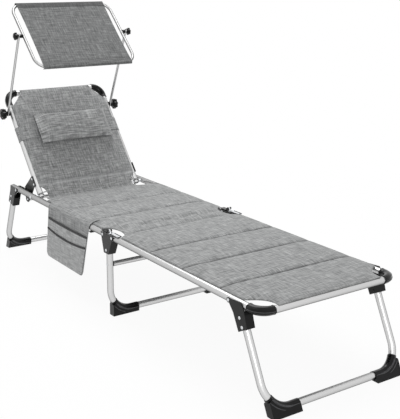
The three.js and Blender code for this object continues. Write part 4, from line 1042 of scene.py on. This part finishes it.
pillow()
band()
corner_straps()


# ---------------- side pocket
def pocket_edges(z):
    """The pocket's edges at a height: they lean towards the head end and round off at its foot."""
    lean = (RAIL_Z - z) / (RAIL_Z - POCKET_FOOT) if z < RAIL_Z else 0.0
    rise = max(0.0, (POCKET_FOOT + 26 - z) / 26)
    inset = 26 * (1 - sqrt(max(0.0, 1 - rise * rise)))
    return 1046 + lean * 66 + inset * 0.5, 1399 + lean * 37 - inset


def pocket_backing():
    """Hangs from the quilt's top, over its edge and round the rail; piping runs round it."""
    over = [(-246, 8.8, 0.0, 1.0), (-254, 9.6, -0.1, 1.0), (-262, 9.0, -0.15, 0.99),
            (-270, 7.9, -0.25, 0.97), (-276.5, 6.2, -0.4, 0.92), (-281.5, 3.4, -0.6, 0.8)]
    path = [(x, PAD_Z + z, nx, nz) for x, z, nx, nz in over]
    radius = POCKET_X - RAIL_X
    for a in (radians(d) for d in (28, 42, 56, 70, 82)):
        sine, cosine = sin(a), cos(a)
        path.append((-RAIL_X - radius * sine, RAIL_Z + radius * cosine, -sine, cosine))
    path += [(-POCKET_X, z, -1.0, 0.0) for z in (
        RAIL_Z, 315, 305, 295, 285, 275, 262, 248, 234, 220, 205, 190, 175, 160, 148, 138, 128,
        120, 114, 110, 107, 105, POCKET_FOOT)]
    lengths = lengths_along(path)

    def hanging(side, i, u):
        x, z, nx, nz = path[i]
        low, high = pocket_edges(z)
        y = low + (high - low) * u
        lift = 0.32 * grain(y / 70, z / 60, 2.0) * smooth((RAIL_Z - z) / 60) + side * 1.0
        return (x + nx * lift, y, z + nz * lift), (y / 1000, lengths[i] / 1000)

    backing = build("pocket_back_sheet", [slab(len(path), 40, hanging)], SEAT_WEAVE, "seat_section",
                    ROW, ("pocket_backing",))
    low, high = ([Vector((x + nx * 0.9, pocket_edges(z)[side], z + nz * 0.9))
                  for x, z, nx, nz in path] for side in (0, 1))
    piping = swept(trail(low + high[::-1]), circle(1.9, 8))
    build("pocket_piping", [piping], SEAT_WEAVE, "seat_section")


def pocket_layer(size, level, mouth, sag, puff):
    """A pocket that stands off the backing by its level, and its bound mouth, which sags."""
    rows, columns = 23, 44

    def hanging(side, r, u):
        v = r / (rows - 1)
        top = mouth - sag * sin(pi * min(1.0, u * 1.05)) ** 0.8
        z = top + (POCKET_FOOT + 2 - top) * v
        low, high = pocket_edges(z)
        y = low + 3 + (high - low - 6) * u
        belly = 0.35 + 0.65 * sin(pi * min(1, v + 0.35))
        swell = puff * sin(pi * u) ** 0.6 * (1 - v) ** 0.5 * belly
        x = -(POCKET_X + 1.0 + level + swell + side * 0.9)
        return (x, y, z), (y / 1000, z / 1000)

    part = slab(rows, columns, hanging)
    sheet = build(f"pocket_{size}_sheet", [part], POCKET_WEAVE_PAINTED_LIGHT, "seat_section", ROW,
                  (f"pocket_{size}",))
    line = [Vector(point) + Vector((0.4, 0, -1.5)) for point in part[0][:columns + 1]]
    tape = [(1.9 * a, 5.0 * b) for a, b in circle(1, 12)]
    build(f"pocket_{size}_binding", [swept(trail(line), tape)], TAPE, "seat_section")


pocket_backing()
pocket_layer("large", 1.1, 278, 2, 3.0)
pocket_layer("small", 2.6, 232, 11, 3.5)


# ---------------- canopy cloth
def canopy_cloth():
    """One sheet over the loop, its front and rear edges turned round the tubes and sewn."""
    r, reach = CANOPY_TUBE + 0.4, 24.0  # round a tube, and from its axis to the stitches
    turn = [(CANOPY_HALF - reach - 8, -r + 1.5, -0.1, -1.0), (CANOPY_HALF - reach, -r, 0.0, -1.0),
            (CANOPY_HALF - 12, -r, 0.0, -1.0)]
    for a in (radians(d) for d in range(-90, 91, 15)):
        turn.append((CANOPY_HALF + r * cos(a), r * sin(a), cos(a), sin(a)))
    top = [(CANOPY_HALF - d, r, 0.0, 1.0) for d in (6, 14, 22, 24, 26, 32)]
    top += [(v, r, 0.0, 1.0) for v in range(140, -1, -10)]
    half_path = turn + top
    path = half_path + [(-v, n, -a, b) for v, n, a, b in half_path[-2::-1]]
    lengths = lengths_along(path)
    columns, last = 56, len(path) - 1

    def over_loop(side, i, u):
        v, n, a, b = path[i]
        share, across, from_end = 1 - (v / CANOPY_HALF) ** 2, 2 * u - 1, min(i, last - i)
        if from_end >= len(turn):  # on top, where the cloth sags and is drawn in
            half = 215.5 - 3.5 * share
            lift = (-4.5 * share * (1 - across * across) ** 0.7
                    + 0.9 * grain(across * half / 26, v / 90, 5.5) * (v / CANOPY_HALF) ** 2
                    - 0.5 * exp(-((abs(v) - CANOPY_HALF + reach) / 1.6) ** 2))
        else:
            half, lift = 188 if from_end > 2 else 182, 0.0
            if from_end > 3:
                half += 27.5 * smooth((abs(v) - CANOPY_HALF + 1) / 1.5 + (1 if b > 0.3 else 0))
        x, lift = across * half, lift + side * 1.0
        return (x, v + a * lift, n + b * lift), (x / 1000, lengths[i] / 1000)

    # The dark seam colour: a band over each turned hem, strong at one end and faint at the other,
    # and painted shade along the stitch lines
    def seam(v):
        from_stitch = abs(v) - CANOPY_HALF + reach
        hem = (0.5 if v > 0 else 0.12) * smooth(from_stitch / 3 + 0.5)
        return hem + 0.3 * exp(-((from_stitch / 2) ** 2))

    seams = [seam(v) for v, *_ in path * 2 for _ in range(columns + 1)]
    part = slab(len(path), columns, over_loop, turned_over=True)
    piece = build("canopy_sheet", [part], CANOPY_WEAVE_PAINTED_SHADE, "canopy", CANOPY, ("canopy_cloth",),
                  seam=seams)


canopy_cloth()


# ---------------- studio
def shown_background(tree):
    """One for the rays that the background is for: the camera's, and those that metal and glass
    turn to it."""
    rays = add(tree, "LightPath").outputs
    shown = rays["Is Camera Ray"]
    for kind in ("Is Glossy Ray", "Is Transmission Ray"):
        shown = add(tree, "Math", {0: shown, 1: rays[kind]}, operation="MAXIMUM")
    return shown


def studio_paper(tree):
    # Matt paper, lit from behind: it stays white, and keeps a faint shadow of the lounger
    place = add(tree, "TexCoord").outputs["Object"]
    fibre = spread(tree, place, (3, 3, 3))
    colour = add(tree, "ValToRGB", {"Fac": fibre}, [(0.3, "f4f4f4"), (0.7, "f7f7f7")])
    paper = add(tree, "BsdfPrincipled",
                {"Base Color": colour, "Roughness": 0.9, "Specular IOR Level": 0.1})
    glow = add(tree, "Emission", {"Color": (1, 1, 1, 1), "Strength": 1.0})
    away = add(tree, "VectorMath", {0: place}, operation="LENGTH").outputs["Value"]
    lit = add(tree, "MapRange",
              {"Value": away, "From Min": 1.0, "From Max": 2.6, "To Min": 0.93, "To Max": 1.0})
    share = add(tree, "Math", {0: shown_background(tree), 1: lit}, operation="MULTIPLY")
    return add(tree, "MixShader", {0: share, 1: paper, 2: glow})


def studio_floor():
    floor = bpy.data.meshes.new("studio_floor")
    corners = [(-14, -14, 0), (14, -14, 0), (14, 14, 0), (-14, 14, 0)]
    floor.from_pydata(corners, [], [(0, 1, 2, 3)])
    floor.materials.append(new_material("matt_studio_paper", studio_paper))
    new_object("studio_floor", floor)


def studio_light():
    world = bpy.data.worlds.new("studio_sky")
    bpy.context.scene.world = world
    world.use_nodes = True
    tree = world.node_tree
    tree.nodes.clear()
    strength = add(tree, "MapRange",
                   {"Value": shown_background(tree), "To Min": 0.5, "To Max": 1.0})
    back = add(tree, "Background", {"Color": (1, 1, 1, 1), "Strength": strength})
    add(tree, "OutputWorld", {"Surface": back})
    for name, place, aim, size, power in (
        ("overhead", (0.4, 1.4, 4.0), (0, 0.1, 0.4), 3.0, 120),
        ("front_fill", (-2.6, -4.2, 2.6), (0, 0, 0.4), 2.2, 60),
    ):
        data = bpy.data.lights.new(name, "AREA")
        data.shape, data.size, data.energy = "SQUARE", size, power
        lamp = new_object(name, data)
        lamp.location = place
        lamp.rotation_euler = (Vector(aim) - Vector(place)).to_track_quat("-Z", "Y").to_euler()


studio_floor()
studio_light()
bpy.context.scene.view_settings.view_transform = "Standard"
